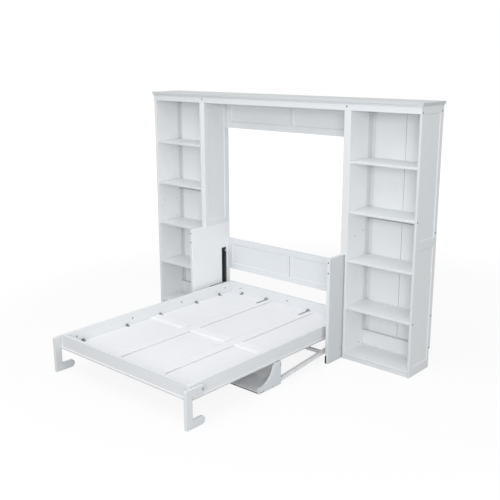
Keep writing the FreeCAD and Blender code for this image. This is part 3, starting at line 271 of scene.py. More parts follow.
def painted_steel(name, colour, roughness, worn=0.0):
    """Powder coat, lacquer or plastic with a fine orange-peel texture."""
    material, tree, shader = new_material(name)
    even = stretched_coordinates(tree, EVEN)
    peel = noise(tree, even, PEEL_NOISE)
    clouds = noise(tree, even, STEEL_CLOUDS)
    light = tuple(min(1.0, part * STEEL_TINT + worn) for part in colour)
    low, high = (roughness + part for part in STEEL_SPREAD)
    tree.links.new(ramp(tree, clouds, STEEL_RAMP, (colour, light)), shader.inputs["Base Color"])
    tree.links.new(spread(tree, clouds, low, high), shader.inputs["Roughness"])
    bump(tree, shader, peel, PEEL_RELIEF)
    return material


def plated_steel(name, colour, roughness):
    """Zinc plate: metallic, with faint turning marks and patches."""
    material, tree, shader = new_material(name)
    even = stretched_coordinates(tree, EVEN)
    marks = noise(tree, stretched_coordinates(tree, TURNING), MARK_NOISE)
    clouds = noise(tree, even, ZINC_CLOUDS)
    light = tuple(min(1.0, part * ZINC_TINT) for part in colour)
    low, high = (roughness + part for part in ZINC_SPREAD)
    tree.links.new(ramp(tree, clouds, ZINC_RAMP, (colour, light)), shader.inputs["Base Color"])
    tree.links.new(spread(tree, marks, low, high), shader.inputs["Roughness"])
    shader.inputs["Metallic"].default_value = 1.0
    bump(tree, shader, marks, MARK_RELIEF)
    return material


MATERIALS = {
    # Copies of the white paint: the front, top and inside paints are painted shade, the panel, deck and pale
    # paints painted light
    "front_x": painted_wood("shaded_front_paint_across", "x", SHADED_FRONT_PAINT),
    "front_y": painted_wood("shaded_front_paint_deep", "y", SHADED_FRONT_PAINT),
    "front_z": painted_wood("shaded_front_paint_upright", "z", SHADED_FRONT_PAINT),
    "board_x": painted_wood("board_paint_across", "x", BOARD_PAINT),
    "board_z": painted_wood("board_paint_upright", "z", BOARD_PAINT),
    "panel_x": painted_wood("lit_panel_paint_across", "x", LIT_PANEL_PAINT),
    # Painted shade on the foot and head rails
    "rail_x": painted_wood("shaded_rail_paint_across", "x", PAINTED_SHADE),
    "rail_y": painted_wood("rail_paint_deep", "y", RAIL_PAINT),
    "deck_y": painted_wood("lit_deck_paint_deep", "y", LIT_DECK_PAINT),
    "top_x": painted_wood("shaded_top_paint_across", "x", SHADED_TOP_PAINT, MATT),
    # Painted shade in the channels beside the tower backs
    "shade_z": painted_wood("channel_painted_shade", "z", PAINTED_SHADE, MATT),
    # Painted shade on the faces that point to the front of the shelves, the uprights and the left cheek
    "shelf_x": painted_wood("shelf_paint_across", "x", BOARD_PAINT, edge=SHELF_FRONT_SHADE),
    "upright_z": painted_wood("upright_paint", "z", BOARD_PAINT, edge=UPRIGHT_FRONT_SHADE),
    "pale_upright_z": painted_wood("lit_upright_paint", "z", LIT_PAINT, edge=UPRIGHT_FRONT_SHADE),
    "pale_z": painted_wood("lit_paint_upright", "z", LIT_PAINT),
    "inside_x": painted_wood("shaded_inside_paint_across", "x", SHADED_INSIDE_PAINT, MATT),
    "link": painted_steel("white_steel", LINK_PAINT, 0.42),
    "black": painted_steel("black_steel", BLACK_PAINT, 0.38, 0.004),
    "dark": painted_steel("dark_steel", DARK_STEEL, 0.42, 0.006),
    "bracket": painted_steel("bracket_steel", BRACKET_STEEL, 0.45),
    "grey": plated_steel("grey_steel", GREY_STEEL, 0.38),
    "zinc": plated_steel("zinc_steel", ZINC, 0.30),
    "pale_zinc": plated_steel("pale_zinc_steel", PALE_ZINC, 0.34),
    "strap": painted_steel("strap_steel", STRAP_PAINT, 0.46),
    # Painted shade in the gap between each rail and cheek, and under the battens
    "gap_shade": painted_steel("gap_shade_grey", GAP_SHADE_GREY, 0.55),
    "shade_strip": painted_steel("shade_strip_grey", SHADE_STRIP_GREY, 0.60),
    # Painted shade along the edges of the bed base and on the desktop's front edge
    "edge": painted_steel("base_shade_grey", SHADE_GREY, 0.60),
    "desk_shade": painted_steel("desk_shade_grey", DESK_SHADE_GREY, 0.60),
    # Painted highlight on the cross battens
    "cross_x": painted_wood("cross_batten_painted_highlight", "x", HIGHLIGHT_CROSS_PAINT),
    "rubber": painted_steel("black_plastic", BLACK_RUBBER, 0.62),
}

# Which finish each CAD node takes
FINISHES = {
    "top_x": ["top_board"],
    "front_x": ["top_moulding", "top_fascia", "tower_plinths", "lower_back_panel"],
    "front_y": ["desk_left_side", "desk_right_side"],
    "rail_x": ["bed_foot_rail", "bed_head_rail"],
    "rail_y": ["bed_left_rail", "bed_right_rail"],
    "front_z": ["left_leg", "right_leg", "right_upper_side", "right_cheek"],
    "board_x": ["back_battens", "skirting_ledges", "desktop"],
    "shelf_x": ["left_tower_bottom", "right_tower_bottom", "left_lower_fixed_shelf",
                "right_lower_fixed_shelf", "left_upper_fixed_shelf", "right_upper_fixed_shelf",
                "left_loose_shelves", "right_loose_shelves"],
    "board_z": ["left_upper_side", "right_tower_back"],
    "upright_z": ["right_tower_outer_side", "left_tower_inner_side"],
    "panel_x": ["upper_back_panel"],
    "pale_z": ["left_tower_back"],
    "pale_upright_z": ["left_tower_outer_side", "right_tower_inner_side", "left_cheek"],
    "inside_x": ["desk_back"],
    "cross_x": ["deck_cross_battens"],
    "deck_y": ["bed_base_left", "bed_base_centre", "bed_base_right", "deck_batten_left",
               "deck_batten_right"],
    "link": ["desk_link_frame"],
    "black": ["left_strut_plate", "right_strut_plate", "left_strut_cylinder", "right_strut_cylinder",
              "left_strut_rod", "right_strut_rod", "bed_pivot_fittings"],
    "bracket": ["rail_brackets"],
    "dark": ["cabinet_screws", "bed_bolts"],
    "strap": ["head_straps"],
    "zinc": ["bed_pivot_pins", "link_pivot_pins", "desk_hangers", "desk_pins"],
    "pale_zinc": ["leg_bolts"],
    "rubber": ["cheek_toe_caps"],
}


def finish_nodes():
    for finish, names in FINISHES.items():
        for name in names:
            mesh = NODES[name].data
            mesh.materials.clear()
            mesh.materials.append(MATERIALS[finish])


# Mesh helpers
UP = Vector((0, 0, 1))
SMOOTH_BELOW = math.radians(35)
SEGMENTS = 24
SMALL_SEGMENTS = 18
SAME_PLACE_DIGITS = 6
SORTING_DIGITS = 4


def islands(name):
    """Lowest and highest corner of each separate solid in a CAD node."""
    mesh = NODES[name].data
    parent = list(range(len(mesh.vertices)))

    def root(item):
        while parent[item] != item:
            parent[item] = parent[parent[item]]
            item = parent[item]
        return item

    places = {}
    for vertex in mesh.vertices:
        key = tuple(round(part, SAME_PLACE_DIGITS) for part in vertex.co)
        first = places.setdefault(key, vertex.index)
        parent[root(vertex.index)] = root(first)
    for edge in mesh.edges:
        parent[root(edge.vertices[0])] = root(edge.vertices[1])
    boxes = {}
    for vertex in mesh.vertices:
        low, high = boxes.setdefault(root(vertex.index), (vertex.co.copy(), vertex.co.copy()))
        for axis in range(3):
            low[axis] = min(low[axis], vertex.co[axis])
            high[axis] = max(high[axis], vertex.co[axis])
    return sorted(boxes.values(), key=lambda box: tuple(round(part, SORTING_DIGITS) for part in box[0]))


def add_piece(name, mesh_data, finish, body, smooth=True):
    """Object from a bmesh, with a finish, that rides on a body."""
    bmesh.ops.recalc_face_normals(mesh_data, faces=mesh_data.faces)
    mesh = bpy.data.meshes.new(name)
    mesh_data.to_mesh(mesh)
    mesh_data.free()
    piece = bpy.data.objects.new(name, mesh)
    bpy.context.scene.collection.objects.link(piece)
    mesh.materials.append(MATERIALS[finish])
    if smooth:
        for face in mesh.polygons:
            face.use_smooth = True
        mesh.set_sharp_from_angle(angle=SMOOTH_BELOW)
    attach(piece, body)
    return piece


def turned(mesh_data, profile, base, direction, segments=SEGMENTS):
    """Closed turned form. The profile is (radius, height) in millimetres from the base along the direction;
    radii given as negative numbers are on the flats of a hexagon."""
    turn = Vector(direction).to_track_quat("Z", "Y").to_matrix()
    rings = []
    for radius, height in profile:
        ring = []
        if radius == 0:
            ring.append(mesh_data.verts.new(base + turn @ Vector((0, 0, height * MM))))
        else:
            for step in range(segments):
                angle = math.tau * step / segments
                reach = radius
                if radius < 0:
                    part = (angle % (math.tau / 6)) - math.tau / 12
                    reach = -radius * math.cos(math.tau / 12) / math.cos(part)
                point = Vector((reach * MM * math.cos(angle), reach * MM * math.sin(angle), height * MM))
                ring.append(mesh_data.verts.new(base + turn @ point))
        rings.append(ring)
    for first, second in zip(rings, rings[1:]):
        for step in range(segments):
            follower = (step + 1) % segments
            if len(first) == 1:
                mesh_data.faces.new((first[0], second[step], second[follower]))
            elif len(second) == 1:
                mesh_data.faces.new((first[step], first[follower], second[0]))
            else:
                mesh_data.faces.new((first[step], first[follower], second[follower], second[step]))
    for ring in (rings[0], rings[-1]):
        if len(ring) > 1:
            mesh_data.faces.new(ring)


def slab(mesh_data, low, high, ease=0.0):
    """Box between two corners, with its edges eased."""
    made = bmesh.ops.create_cube(mesh_data, size=1.0)
    low, high = Vector(low), Vector(high)
    size = high - low
    for vertex in made["verts"]:
        vertex.co = Vector((low[axis] + (vertex.co[axis] + 0.5) * size[axis] for axis in range(3)))
    if ease:
        edges = list({edge for vertex in made["verts"] for edge in vertex.link_edges})
        bmesh.ops.bevel(mesh_data, geom=edges, offset=ease, segments=2, affect="EDGES", profile=0.5)


def side_slabs(mesh_data, inner, outer, low, high, ease=0.0):
    """One slab on each side of the middle. Its two other corners are given as (y, z)."""
    for way in (-1, 1):
        first, second = sorted((way * inner, way * outer))
        slab(mesh_data, (first, *low), (second, *high), ease)


def prism(mesh_data, first, second):
    """Closed prism between two outlines."""
    ends = [[mesh_data.verts.new(point) for point in outline] for outline in (first, second)]
    count = len(first)
    for step in range(count):
        follower = (step + 1) % count
        mesh_data.faces.new((ends[0][step], ends[0][follower], ends[1][follower], ends[1][step]))
    for end in ends:
        mesh_data.faces.new(end)


# Screw heads on the cabinet and bolt heads in the bed, in place of the plain ones.
# The lowest screw in the front edge of each cheek is under a cap.
BED_MIDDLE = -1.0
CHEEK_FRONT = -0.5
CAPPED_BELOW = 0.45
CAP_PROFILE = [(6.2, 0.0), (6.2, 0.5), (5.4, 1.0), (0, 1.1)]
SCREW_PROFILE = [(6.2, 0.0), (6.2, 0.45), (5.7, 0.9), (4.3, 1.2), (-2.9, 1.2), (-2.7, 0.3), (0, 0.3)]
BUTTON_PROFILE = [(7.0, 0.0), (7.0, 0.7), (6.4, 2.3), (5.0, 3.6), (3.9, 4.0), (-2.9, 4.0), (-2.7, 1.5),
                  (0, 1.5)]


def thin_axis(low, high):
    size = high - low
    return min(range(3), key=lambda axis: size[axis])


def seat(low, high, axis, way):
    """Middle of the face on which a fastener sits, and the direction of its head."""
    direction = Vector((0, 0, 0))
    direction[axis] = way
    base = (low + high) / 2
    base[axis] = low[axis] if way > 0 else high[axis]
    return base, direction


def make_cabinet_screws():
    heads = bmesh.new()
    caps = bmesh.new()
    for low, high in islands("cabinet_screws"):
        axis = thin_axis(low, high)
        middle = (low + high) / 2
        way = -1.0 if axis == 1 or middle[axis] < 0 else 1.0
        base, direction = seat(low, high, axis, way)
        if middle.y < CHEEK_FRONT and middle.z < CAPPED_BELOW:
            turned(caps, CAP_PROFILE, base, direction)
        else:
            turned(heads, SCREW_PROFILE, base, direction)
    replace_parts(add_piece("screw_heads", heads, "dark", "cabinet"), "cabinet_screws")
    add_piece("screw_caps", caps, "front_z", "cabinet")


def make_bed_bolts():
    bolts = bmesh.new()
    for low, high in islands("bed_bolts"):
        axis = thin_axis(low, high)
        middle = (low + high) / 2
        inward = middle[axis] < (0 if axis == 0 else BED_MIDDLE)
        base, direction = seat(low, high, axis, 1.0 if inward else -1.0)
        turned(bolts, BUTTON_PROFILE, base, direction)
    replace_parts(add_piece("button_bolts", bolts, "grey", "bed"), "bed_bolts")


# Pressed angle brackets with a rib and screws, in place of the plain ones
BED_INSIDE = 0.7
TOUCHING = 0.002
SHEET = 2.6 * MM
BEND_RADIUS = 3.0 * MM
BEND_STEPS = 4
RIB_HIGH = 0.72
RIB_LONG = 0.4
RIB_HALF = 2.2
BRACKET_SCREW_HALF = 8.5
BRACKET_SCREW_SHARE = 0.62
PAN_PROFILE = [(3.4, 0.0), (3.4, 0.7), (2.9, 1.3), (1.8, 1.6), (-1.3, 1.6), (-1.2, 0.6), (0, 0.6)]


def bracket_frame(low, high):
    """Corner of the bracket, the directions away from the rail and along it, and the bracket's width."""
    if abs(abs(low.x) - BED_INSIDE) < TOUCHING or abs(abs(high.x) - BED_INSIDE) < TOUCHING:
        away = 1.0 if low.x < 0 else -1.0
        corner = Vector((low.x if away > 0 else high.x, (low.y + high.y) / 2, low.z))
        return corner, Vector((away, 0, 0)), Vector((0, 1, 0)), high.y - low.y
    away = 1.0 if low.y < BED_MIDDLE else -1.0
    corner = Vector(((low.x + high.x) / 2, low.y if away > 0 else high.y, low.z))
    return corner, Vector((0, away, 0)), Vector((1, 0, 0)), high.x - low.x


def make_brackets():
    plates = bmesh.new()
    screws = bmesh.new()
    for low, high in islands("rail_brackets"):
        corner, away, along, wide = bracket_frame(low, high)
        reach = (high - low).dot(Vector((abs(away.x), abs(away.y), 0)))
        tall = high.z - low.z
        section = [(0, 0), (reach, 0), (reach, SHEET)]
        for step in range(BEND_STEPS + 1):
            angle = math.pi / 2 * step / BEND_STEPS
            section.append((SHEET + BEND_RADIUS - BEND_RADIUS * math.sin(angle),
                            SHEET + BEND_RADIUS - BEND_RADIUS * math.cos(angle)))
        section += [(SHEET, tall), (0, tall)]
        prism(plates, *[[corner + away * out + UP * rise + along * wide * side for out, rise in section]
                        for side in (-0.5, 0.5)])
        rib = [(SHEET, tall * RIB_HIGH), (SHEET + reach * RIB_LONG, SHEET), (SHEET, SHEET)]
        prism(plates, *[[corner + away * out + UP * rise + along * RIB_HALF * MM * side for out, rise in rib]
                        for side in (-1, 1)])
        for side in (-1, 1):
            shift = along * BRACKET_SCREW_HALF * MM * side
            low_screw = corner + away * reach * BRACKET_SCREW_SHARE + UP * SHEET + shift
            high_screw = corner + away * SHEET + UP * tall * BRACKET_SCREW_SHARE + shift
            turned(screws, PAN_PROFILE, low_screw, UP, SMALL_SEGMENTS)
            turned(screws, PAN_PROFILE, high_screw, away, SMALL_SEGMENTS)
    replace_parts(add_piece("pressed_brackets", plates, "bracket", "bed"), "rail_brackets")
    add_piece("bracket_screws", screws, "grey", "bed")


# Clamps and screws that hold the straps
STRAP_SHEET = 3.0 * MM
STRAP_SCREWS = (45, 90, 125)
CLAMP_SIZE = Vector((0.030, 0.016, 0.013))
CLAMP_EASE = 1.5 * MM


def make_strap_fittings():
    screws = bmesh.new()
    clamps = bmesh.new()
    for low, high in islands("head_straps"):
        middle = (low.x + high.x) / 2
        foot = Vector((middle - CLAMP_SIZE.x / 2, high.y - STRAP_SHEET - CLAMP_SIZE.y, low.z + STRAP_SHEET))
        slab(clamps, foot, foot + CLAMP_SIZE, CLAMP_EASE)
        for back in STRAP_SCREWS:
            place = Vector((middle, high.y - back * MM, low.z + STRAP_SHEET))
            turned(screws, PAN_PROFILE, place, UP, SMALL_SEGMENTS)
    add_piece("strap_clamps", clamps, "strap", "bed")
    add_piece("strap_screws", screws, "grey", "bed")


# Round covers over the bed pivots, clip rings on the strut studs, dome nuts and caps on the other pins
BED_PIVOT = (-0.260, 0.250)
STRUT_TOP = (-0.080, 0.615)
LINK_REAR = (-0.345, 0.096)
DESK_PIVOT = (-1.066, 0.172)
LINK_FRONT = (-1.151, 0.018)
CLIP_FACE = 0.739
DOME_FACE = 0.709
PIN_FACES = {DESK_PIVOT: 0.7545, LINK_FRONT: 0.7525}
COVER_SEGMENTS = 32
CLIP_SEGMENTS = 28
COVER_PROFILE = [(15.0, 0.0), (15.0, 0.7), (14.2, 1.2), (0, 1.3)]
CLIP_PROFILE = [(10.0, 0.0), (10.0, 1.1), (8.8, 1.6), (6.4, 1.6), (6.0, 2.4), (4.6, 3.0), (0, 3.0)]
DOME_PROFILE = [(-8.0, 0.0), (-8.0, 2.2), (6.4, 2.8), (5.2, 4.4), (2.8, 5.4), (0, 5.7)]
PIN_PROFILE = [(6.6, 0.0), (6.4, 1.0), (4.6, 1.9), (0, 2.3)]


def make_pivot_covers():
    covers = bmesh.new()
    for side in (-1, 1):
        turned(covers, COVER_PROFILE, Vector((side * BED_INSIDE, *BED_PIVOT)), (-side, 0, 0), COVER_SEGMENTS)
    add_piece("pivot_covers", covers, "front_y", "bed")


def make_pin_ends():
    clips = bmesh.new()
    domes = bmesh.new()
    caps = bmesh.new()
    for side in (-1, 1):
        turned(clips, CLIP_PROFILE, Vector((side * CLIP_FACE, *STRUT_TOP)), (-side, 0, 0), CLIP_SEGMENTS)
        turned(domes, DOME_PROFILE, Vector((side * DOME_FACE, *LINK_REAR)), (-side, 0, 0))
        for place, face in PIN_FACES.items():
            turned(caps, PIN_PROFILE, Vector((side * face, *place)), (side, 0, 0))
    add_piece("strut_clips", clips, "zinc", "cabinet")
    add_piece("link_dome_nuts", domes, "zinc", "cabinet")
    add_piece("desk_pin_caps", caps, "zinc", "desk")


# Screws in the desk sides and the desk hangers, at (y, z)
DESK_HALF = 0.753
TOE_SCREWS = ((-1.285, 0.017), (-1.257, 0.017))
SIDE_SCREWS = ((-1.062, 0.050), (-1.062, 0.120), (-1.120, 0.017))
HANGER_SHARES = (0.2, 0.8)
HANGER_SHEET = 3.0 * MM
FLAT_PROFILE = [(4.6, 0.0), (4.6, 0.35), (3.9, 0.6), (-1.9, 0.6), (-1.8, 0.15), (0, 0.15)]


def make_desk_screws():
    dark = bmesh.new()
    pale = bmesh.new()
    for side in (-1, 1):
        for screws, places in ((dark, TOE_SCREWS), (pale, SIDE_SCREWS)):
            for place in places:
                base = Vector((side * DESK_HALF, *place))
                turned(screws, FLAT_PROFILE, base, (side, 0, 0), SMALL_SEGMENTS)
    add_piece("desk_toe_screws", dark, "dark", "desk")
    add_piece("desk_side_plugs", pale, "front_y", "desk")
    hanger = bmesh.new()
    for low, high in islands("desk_hangers"):
        for share in HANGER_SHARES:
            deep = low.y + (high.y - low.y) * share
            place = Vector(((low.x + high.x) / 2, deep, high.z - HANGER_SHEET))
            turned(hanger, PAN_PROFILE, place, (0, 0, -1), SMALL_SEGMENTS)
    add_piece("hanger_screws", hanger, "zinc", "bed")


# Shelf pins, pin sleeves at (y, z), and thin sheets of painted shade in the channels of the tower backs
TOWER_SIDES = {"left": (-1.407, -0.820), "right": (0.820, 1.407)}
TOWER_TOP = 2.080
FIRST_SHELF = 0.049
SHELF_STEP = 0.3965
SHELF_LEVELS = [FIRST_SHELF + SHELF_STEP * index for index in range(5)]
LOOSE_SHELVES = (2, 4)
BOARD = 0.018
OUTER_BEYOND = 1.0
SHELF_PIN_DEEP = (-0.240, -0.060)
SHELF_PIN_RADIUS = 2.6
SHELF_PIN_SEGMENTS = 16
SHELF_PIN = [(SHELF_PIN_RADIUS, 0.0), (SHELF_PIN_RADIUS, 8.0), (2.0, 8.6), (0, 8.6)]
SLEEVE = [(4.4, 0.0), (4.4, 0.35), (3.9, 0.5), (3.0, 0.5), (2.9, 0.12), (0, 0.12)]
SLEEVE_PLACES = {"left": ((-0.240, 1.047), (-0.266, 0.991), (-0.078, 1.047)),
                 "right": ((-0.210, 1.021), (-0.096, 1.051), (-0.098, 0.083))}
FIELD_SINK = 0.003
FIELD_DEEP = (-0.268, -0.038)
MIDDLE_RAIL = (1.008, 1.073)


def make_shelf_pins():
    pins = bmesh.new()
    sleeves = bmesh.new()
    for side, (low, high) in TOWER_SIDES.items():
        for wall, way in ((low, 1), (high, -1)):
            sink = FIELD_SINK if abs(wall) > OUTER_BEYOND else 0.0
            for index in LOOSE_SHELVES:
                for deep in SHELF_PIN_DEEP:
                    level = SHELF_LEVELS[index] - BOARD - SHELF_PIN_RADIUS * MM
                    place = Vector((wall - way * sink, deep, level))
                    turned(pins, SHELF_PIN, place, (way, 0, 0), SHELF_PIN_SEGMENTS)
            for deep, level in SLEEVE_PLACES[side]:
                framed = MIDDLE_RAIL[0] < level < MIDDLE_RAIL[1] or not FIELD_DEEP[0] < deep < FIELD_DEEP[1]
                place = Vector((wall - way * (0.0 if framed else sink), deep, level))
                turned(sleeves, SLEEVE, place, (way, 0, 0), SMALL_SEGMENTS)
    add_piece("shelf_pins", pins, "zinc", "cabinet")
    add_piece("pin_sleeves", sleeves, "dark", "cabinet")


CHANNEL_WIDE = 0.040
CHANNEL_BOTTOM = -0.006
CHANNEL_FOOT = 0.178
SHADE_SHEET = 0.0008
SHADE_SHEET_FRONT = {"left": -0.034, "right": -0.067}


def make_channel_shade_sheets():
    """Thin darker sheets of painted shade in the channel beside each tower back, between one shelf and the
    next.
    """
    shade_sheets = bmesh.new()
    ceilings = SHELF_LEVELS[1:] + [TOWER_TOP + BOARD]
    floors = [CHANNEL_FOOT] + SHELF_LEVELS[1:]
    for side, (low, high) in TOWER_SIDES.items():
        for floor, ceiling in zip(floors, ceilings):
            top = ceiling - BOARD
            slab(shade_sheets, (low, CHANNEL_BOTTOM - SHADE_SHEET, floor), (low + CHANNEL_WIDE, CHANNEL_BOTTOM, top))
            slab(shade_sheets, (low, SHADE_SHEET_FRONT[side], floor), (low + SHADE_SHEET, CHANNEL_BOTTOM, top))
    add_piece("channel_shade_sheets", shade_sheets, "shade_z", "cabinet", False)


# Bevelled beads round the sunk fields of the framed boards: (inset, depth) of their section
BEAD_DEEP = 6.0
BEAD = [(0.0, 0.4), (0.0, BEAD_DEEP), (8.5, BEAD_DEEP), (7.2, 5.0), (1.6, 0.4)]
OUTER_FACE = 1.425
OUTER_FIELD_LOW = 0.072
BAY_HALF = 0.760
BAY_FIELD_LOW = (-0.268, 0.934)
BAY_FIELD_FRONT = -0.052
BAY_FIELD_DROP = 0.052
BACK_FACE = -0.020
BACK_FIELDS = ((-0.708, -0.026), (0.026, 0.708))
BACK_PANELS = (("lower", 0.479, 0.675, "front_x"), ("upper", 1.832, 1.982, "panel_x"))


def bead_ring(mesh_data, axis, face, out, low, high):
    """Mitred bead round the field between two corners of the plane square to the axis."""
    rings = []
    for right, upper in ((0, 0), (1, 0), (1, 1), (0, 1)):
        ring = []
        for inset, depth in BEAD:
            first = high[0] - inset * MM if right else low[0] + inset * MM
            second = high[1] - inset * MM if upper else low[1] + inset * MM
            place = face - out * depth * MM
            point = (place, first, second) if axis == "x" else (first, place, second)
            ring.append(mesh_data.verts.new(point))
        rings.append(ring)
    count = len(BEAD)
    for number, ring in enumerate(rings):
        other = rings[(number + 1) % len(rings)]
        for step in range(count):
            follower = (step + 1) % count
            mesh_data.faces.new((ring[step], ring[follower], other[follower], other[step]))


def make_beads():
    fascia_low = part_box("top_fascia")[0].z
    outer_fields = ((OUTER_FIELD_LOW, MIDDLE_RAIL[0]), (MIDDLE_RAIL[1], fascia_low))
    for side, way, finish in (("left", -1, "pale_z"), ("right", 1, "board_z")):
        beads = bmesh.new()
        for low, high in outer_fields:
            bead_ring(beads, "x", way * OUTER_FACE, way, (FIELD_DEEP[0], low), (FIELD_DEEP[1], high))
        add_piece(side + "_side_beads", beads, finish, "cabinet", False)
    bay_field_high = (BAY_FIELD_FRONT, fascia_low - BAY_FIELD_DROP)
    for side, way, finish in (("left", -1, "board_z"), ("right", 1, "front_z")):
        beads = bmesh.new()
        bead_ring(beads, "x", way * BAY_HALF, -way, BAY_FIELD_LOW, bay_field_high)
        add_piece(side + "_upper_beads", beads, finish, "cabinet", False)
    for level, low, high, finish in BACK_PANELS:
        beads = bmesh.new()
        for left, right in BACK_FIELDS:
            bead_ring(beads, "y", BACK_FACE, -1, (left, low), (right, high))
        add_piece(level + "_panel_beads", beads, finish, "cabinet", False)


# Strips of painted shade under the battens, rounded strips on the ledges, and strips of painted shade in the
# gap between each rail and cheek: corners at (y, z)
SHADE_STRIP_INSET = 0.003
SHADE_STRIP_LOW = (-0.0390, 1.143)
SHADE_STRIP_HIGH = (-0.0380, 1.152)
SHADE_STRIP_EASE = 0.0003
STRIP_INSET = 0.0005
STRIP_LOW = (-0.0450, 0.166)
STRIP_HIGH = (-0.0202, 0.176)
STRIP_EASE = 0.002
RAIL_FACE = 0.725
GAP_SHADE_FACE = 0.7274
GAP_SHADE_LOW = (-0.503, 0.212)
GAP_SHADE_HIGH = (-0.458, 0.300)
GAP_SHADE_EASE = 0.0008


def make_ledge_and_shade_strips():
    shade_strips = bmesh.new()
    strips = bmesh.new()
    for low, high in TOWER_SIDES.values():
        slab(shade_strips, (low + SHADE_STRIP_INSET, *SHADE_STRIP_LOW), (high - SHADE_STRIP_INSET, *SHADE_STRIP_HIGH), SHADE_STRIP_EASE)
        slab(strips, (low + STRIP_INSET, *STRIP_LOW), (high - STRIP_INSET, *STRIP_HIGH), STRIP_EASE)
    add_piece("batten_shade_strips", shade_strips, "shade_strip", "cabinet", False)
    add_piece("ledge_strips", strips, "board_x", "cabinet")
    gap_shades = bmesh.new()
    side_slabs(gap_shades, RAIL_FACE, GAP_SHADE_FACE, GAP_SHADE_LOW, GAP_SHADE_HIGH, GAP_SHADE_EASE)
    add_piece("rail_gap_shades", gap_shades, "gap_shade", "bed", False)


# Strips of painted shade along the edges of the bed base and the front edge of the desktop
BAND = 0.0006
BASE_HALF = 0.728
BASE_FOOT = -1.990
BASE_HEAD = -0.025
BAND_LOW = 0.1872
BAND_HIGH = 0.1970
DESK_FRONT = -1.308
DESKTOP_HALF = 0.7345
DESK_BAND_LOW = 0.0082
DESK_BAND_HIGH = 0.0180


def make_shade_bands():
    bands = bmesh.new()
    side_slabs(bands, BASE_HALF, BASE_HALF + BAND, (BASE_FOOT, BAND_LOW), (BASE_HEAD, BAND_HIGH))
    slab(bands, (-BASE_HALF, BASE_FOOT - BAND, BAND_LOW), (BASE_HALF, BASE_FOOT, BAND_HIGH))
    add_piece("base_shade_bands", bands, "edge", "bed", False)
    front = bmesh.new()
    slab(front, (-DESKTOP_HALF, DESK_FRONT - BAND, DESK_BAND_LOW), (DESKTOP_HALF, DESK_FRONT, DESK_BAND_HIGH))
    add_piece("desk_shade_band", front, "desk_shade", "desk", False)


# Thin plates at the desk pivots and the bed pivots: corners at (y, z)
HINGE_SHEET = 0.002
HINGE_LOW = (-1.1020, 0.150)
HINGE_HIGH = (-1.0555, 0.1990)
HINGE_EASE = 0.0006
CHEEK_PLATE_FACE = 0.7575
CHEEK_PLATE_LOW = (-0.285, 0.205)
CHEEK_PLATE_HIGH = (-0.072, 0.2990)
CHEEK_PLATE_EASE = 0.001


def make_pivot_plates():
    hinges = bmesh.new()
    side_slabs(hinges, DESK_HALF, DESK_HALF + HINGE_SHEET, HINGE_LOW, HINGE_HIGH, HINGE_EASE)
    add_piece("desk_hinge_plates", hinges, "front_y", "desk")
    plates = bmesh.new()
    side_slabs(plates, CHEEK_PLATE_FACE, BAY_HALF, CHEEK_PLATE_LOW, CHEEK_PLATE_HIGH, CHEEK_PLATE_EASE)
    add_piece("cheek_pivot_plates", plates, "strap", "cabinet")


# Weld beads round the cross tube of the link frame
WELD_FACE = 0.709
WELD_MIDDLE = Vector((0, -0.490, 0.082))
WELD_HALF = 0.012
WELD_RADIUS = 0.0022
WELD_STEPS = 8


def make_welds():
    welds = bmesh.new()
    for side in (-1, 1):
        for edge in (1, -1):
            for step in range(WELD_STEPS + 1):
                share = -1 + 2 * step / WELD_STEPS
                for across, rise in ((share, edge), (edge, share)):
                    place = Vector((side * WELD_FACE, WELD_MIDDLE.y + across * WELD_HALF,
                                    WELD_MIDDLE.z + rise * WELD_HALF))
                    bmesh.ops.create_icosphere(welds, subdivisions=1, radius=WELD_RADIUS,
                                               matrix=Matrix.Translation(place))
    add_piece("tube_welds", welds, "link", "desk_link")


# Floor, light and camera
FLOOR_SIZE = 40.0
FLOOR_LEVEL = -0.0005
FLOOR_ROUGHNESS = 0.9
FLOOR_GLOW = 0.8
FLOOR_STRENGTH = 1.10
FADE_FROM = 2.5
FADE_TO = 6.0
WORLD_LIGHT = 0.60
WORLD_TINT = (0.97, 0.985, 1.0)

# Lamps: name, place, target, size and power
LAMPS = (
    ("top_light", (0.0, -3.2, 6.0), (0.0, -0.8, 0.5), 5.0, 121.0),
    ("head_light", (5.6, -7.2, 3.1), (0.2, -0.5, 0.9), 3.0, 272.0),
)


def make_floor():
    """Pale floor that fades to white in the camera's view, further from the object."""
    bpy.ops.mesh.primitive_plane_add(size=FLOOR_SIZE, location=(0.0, 0.0, FLOOR_LEVEL))
    floor = bpy.context.object
    floor.name = "floor"
    material, tree, shader = new_material("floor_white")
    shader.inputs["Base Color"].default_value = FLOOR_WHITE + (1.0,)
    shader.inputs["Roughness"].default_value = FLOOR_ROUGHNESS
    shader.inputs["Specular IOR Level"].default_value = 0.0
    output = [node for node in tree.nodes if node.type == "OUTPUT_MATERIAL"][0]
    glow = tree.nodes.new("ShaderNodeEmission")
    glow.inputs["Color"].default_value = WHITE + (1.0,)
    glow.inputs["Strength"].default_value = FLOOR_STRENGTH
    rays = tree.nodes.new("ShaderNodeLightPath")
    where = tree.nodes.new("ShaderNodeTexCoord")
    distance = tree.nodes.new("ShaderNodeVectorMath")
    distance.operation = "LENGTH"
    tree.links.new(where.outputs["Object"], distance.inputs[0])
    fade = tree.nodes.new("ShaderNodeMapRange")
    fade.inputs["From Min"].default_value = FADE_FROM
    fade.inputs["From Max"].default_value = FADE_TO
    fade.inputs["To Min"].default_value = FLOOR_GLOW
    fade.inputs["To Max"].default_value = 1.0
    tree.links.new(distance.outputs["Value"], fade.inputs["Value"])
    seen = calculated(tree, "MULTIPLY", rays.outputs["Is Camera Ray"], fade.outputs["Result"])
    mixed_shaders(tree, seen, shader.outputs["BSDF"], glow.outputs["Emission"], output)
    floor.data.materials.append(material)


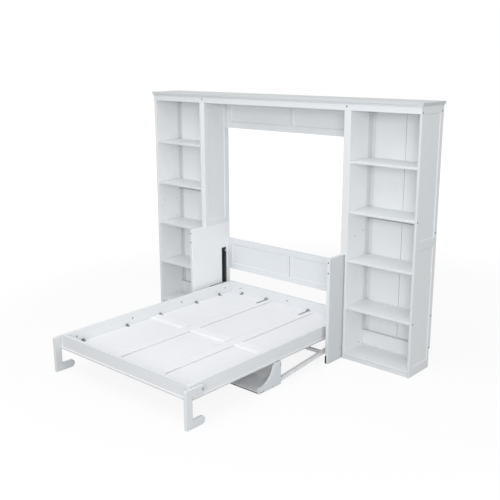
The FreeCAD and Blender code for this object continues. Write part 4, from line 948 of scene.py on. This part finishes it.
def make_world():
    """Soft light from all sides, and a white background."""
    world = bpy.data.worlds.new("studio")
    bpy.context.scene.world = world
    world.use_nodes = True
    tree = world.node_tree
    tree.nodes.clear()
    output = tree.nodes.new("ShaderNodeOutputWorld")
    rays = tree.nodes.new("ShaderNodeLightPath")
    grounds = []
    for colour, strength in ((WORLD_TINT, WORLD_LIGHT), (WHITE, 1.0)):
        ground = tree.nodes.new("ShaderNodeBackground")
        ground.inputs["Color"].default_value = colour + (1.0,)
        ground.inputs["Strength"].default_value = strength
        grounds.append(ground.outputs["Background"])
    shown = rays.outputs["Is Camera Ray"]
    for name in ("Is Glossy Ray", "Is Transmission Ray"):
        shown = calculated(tree, "MAXIMUM", shown, rays.outputs[name])
    mixed_shaders(tree, shown, grounds[0], grounds[1], output)


def make_lights():
    for name, place, target, size, power in LAMPS:
        light = bpy.data.lights.new(name, "AREA")
        light.shape = "DISK"
        light.size = size
        light.energy = power
        lamp = bpy.data.objects.new(name, light)
        bpy.context.scene.collection.objects.link(lamp)
        lamp.location = place
        lamp.rotation_euler = (Vector(target) - Vector(place)).to_track_quat("-Z", "Y").to_euler()


def make_camera():
    data = bpy.data.cameras.new("photo_camera")
    data.sensor_width = SENSOR
    data.lens = CAMERA_LENS
    data.clip_end = CAMERA_REACH
    camera = bpy.data.objects.new("photo_camera", data)
    bpy.context.scene.collection.objects.link(camera)
    turn = CAMERA_VIEW.to_track_quat("-Z", "Y").to_matrix().to_4x4()
    roll = Matrix.Rotation(CAMERA_ROLL, 4, "Z")
    camera.matrix_world = Matrix.Translation(CAMERA_PLACE) @ turn @ roll
    bpy.context.scene.camera = camera


finish_nodes()
make_cabinet_screws()
make_bed_bolts()
make_brackets()
make_strap_fittings()
make_pivot_covers()
make_pin_ends()
make_desk_screws()
make_shelf_pins()
make_channel_shade_sheets()
make_beads()
make_ledge_and_shade_strips()
make_shade_bands()
make_pivot_plates()
make_welds()
make_floor()
make_world()
make_lights()
make_camera()
bpy.context.scene.view_settings.view_transform = "Standard"
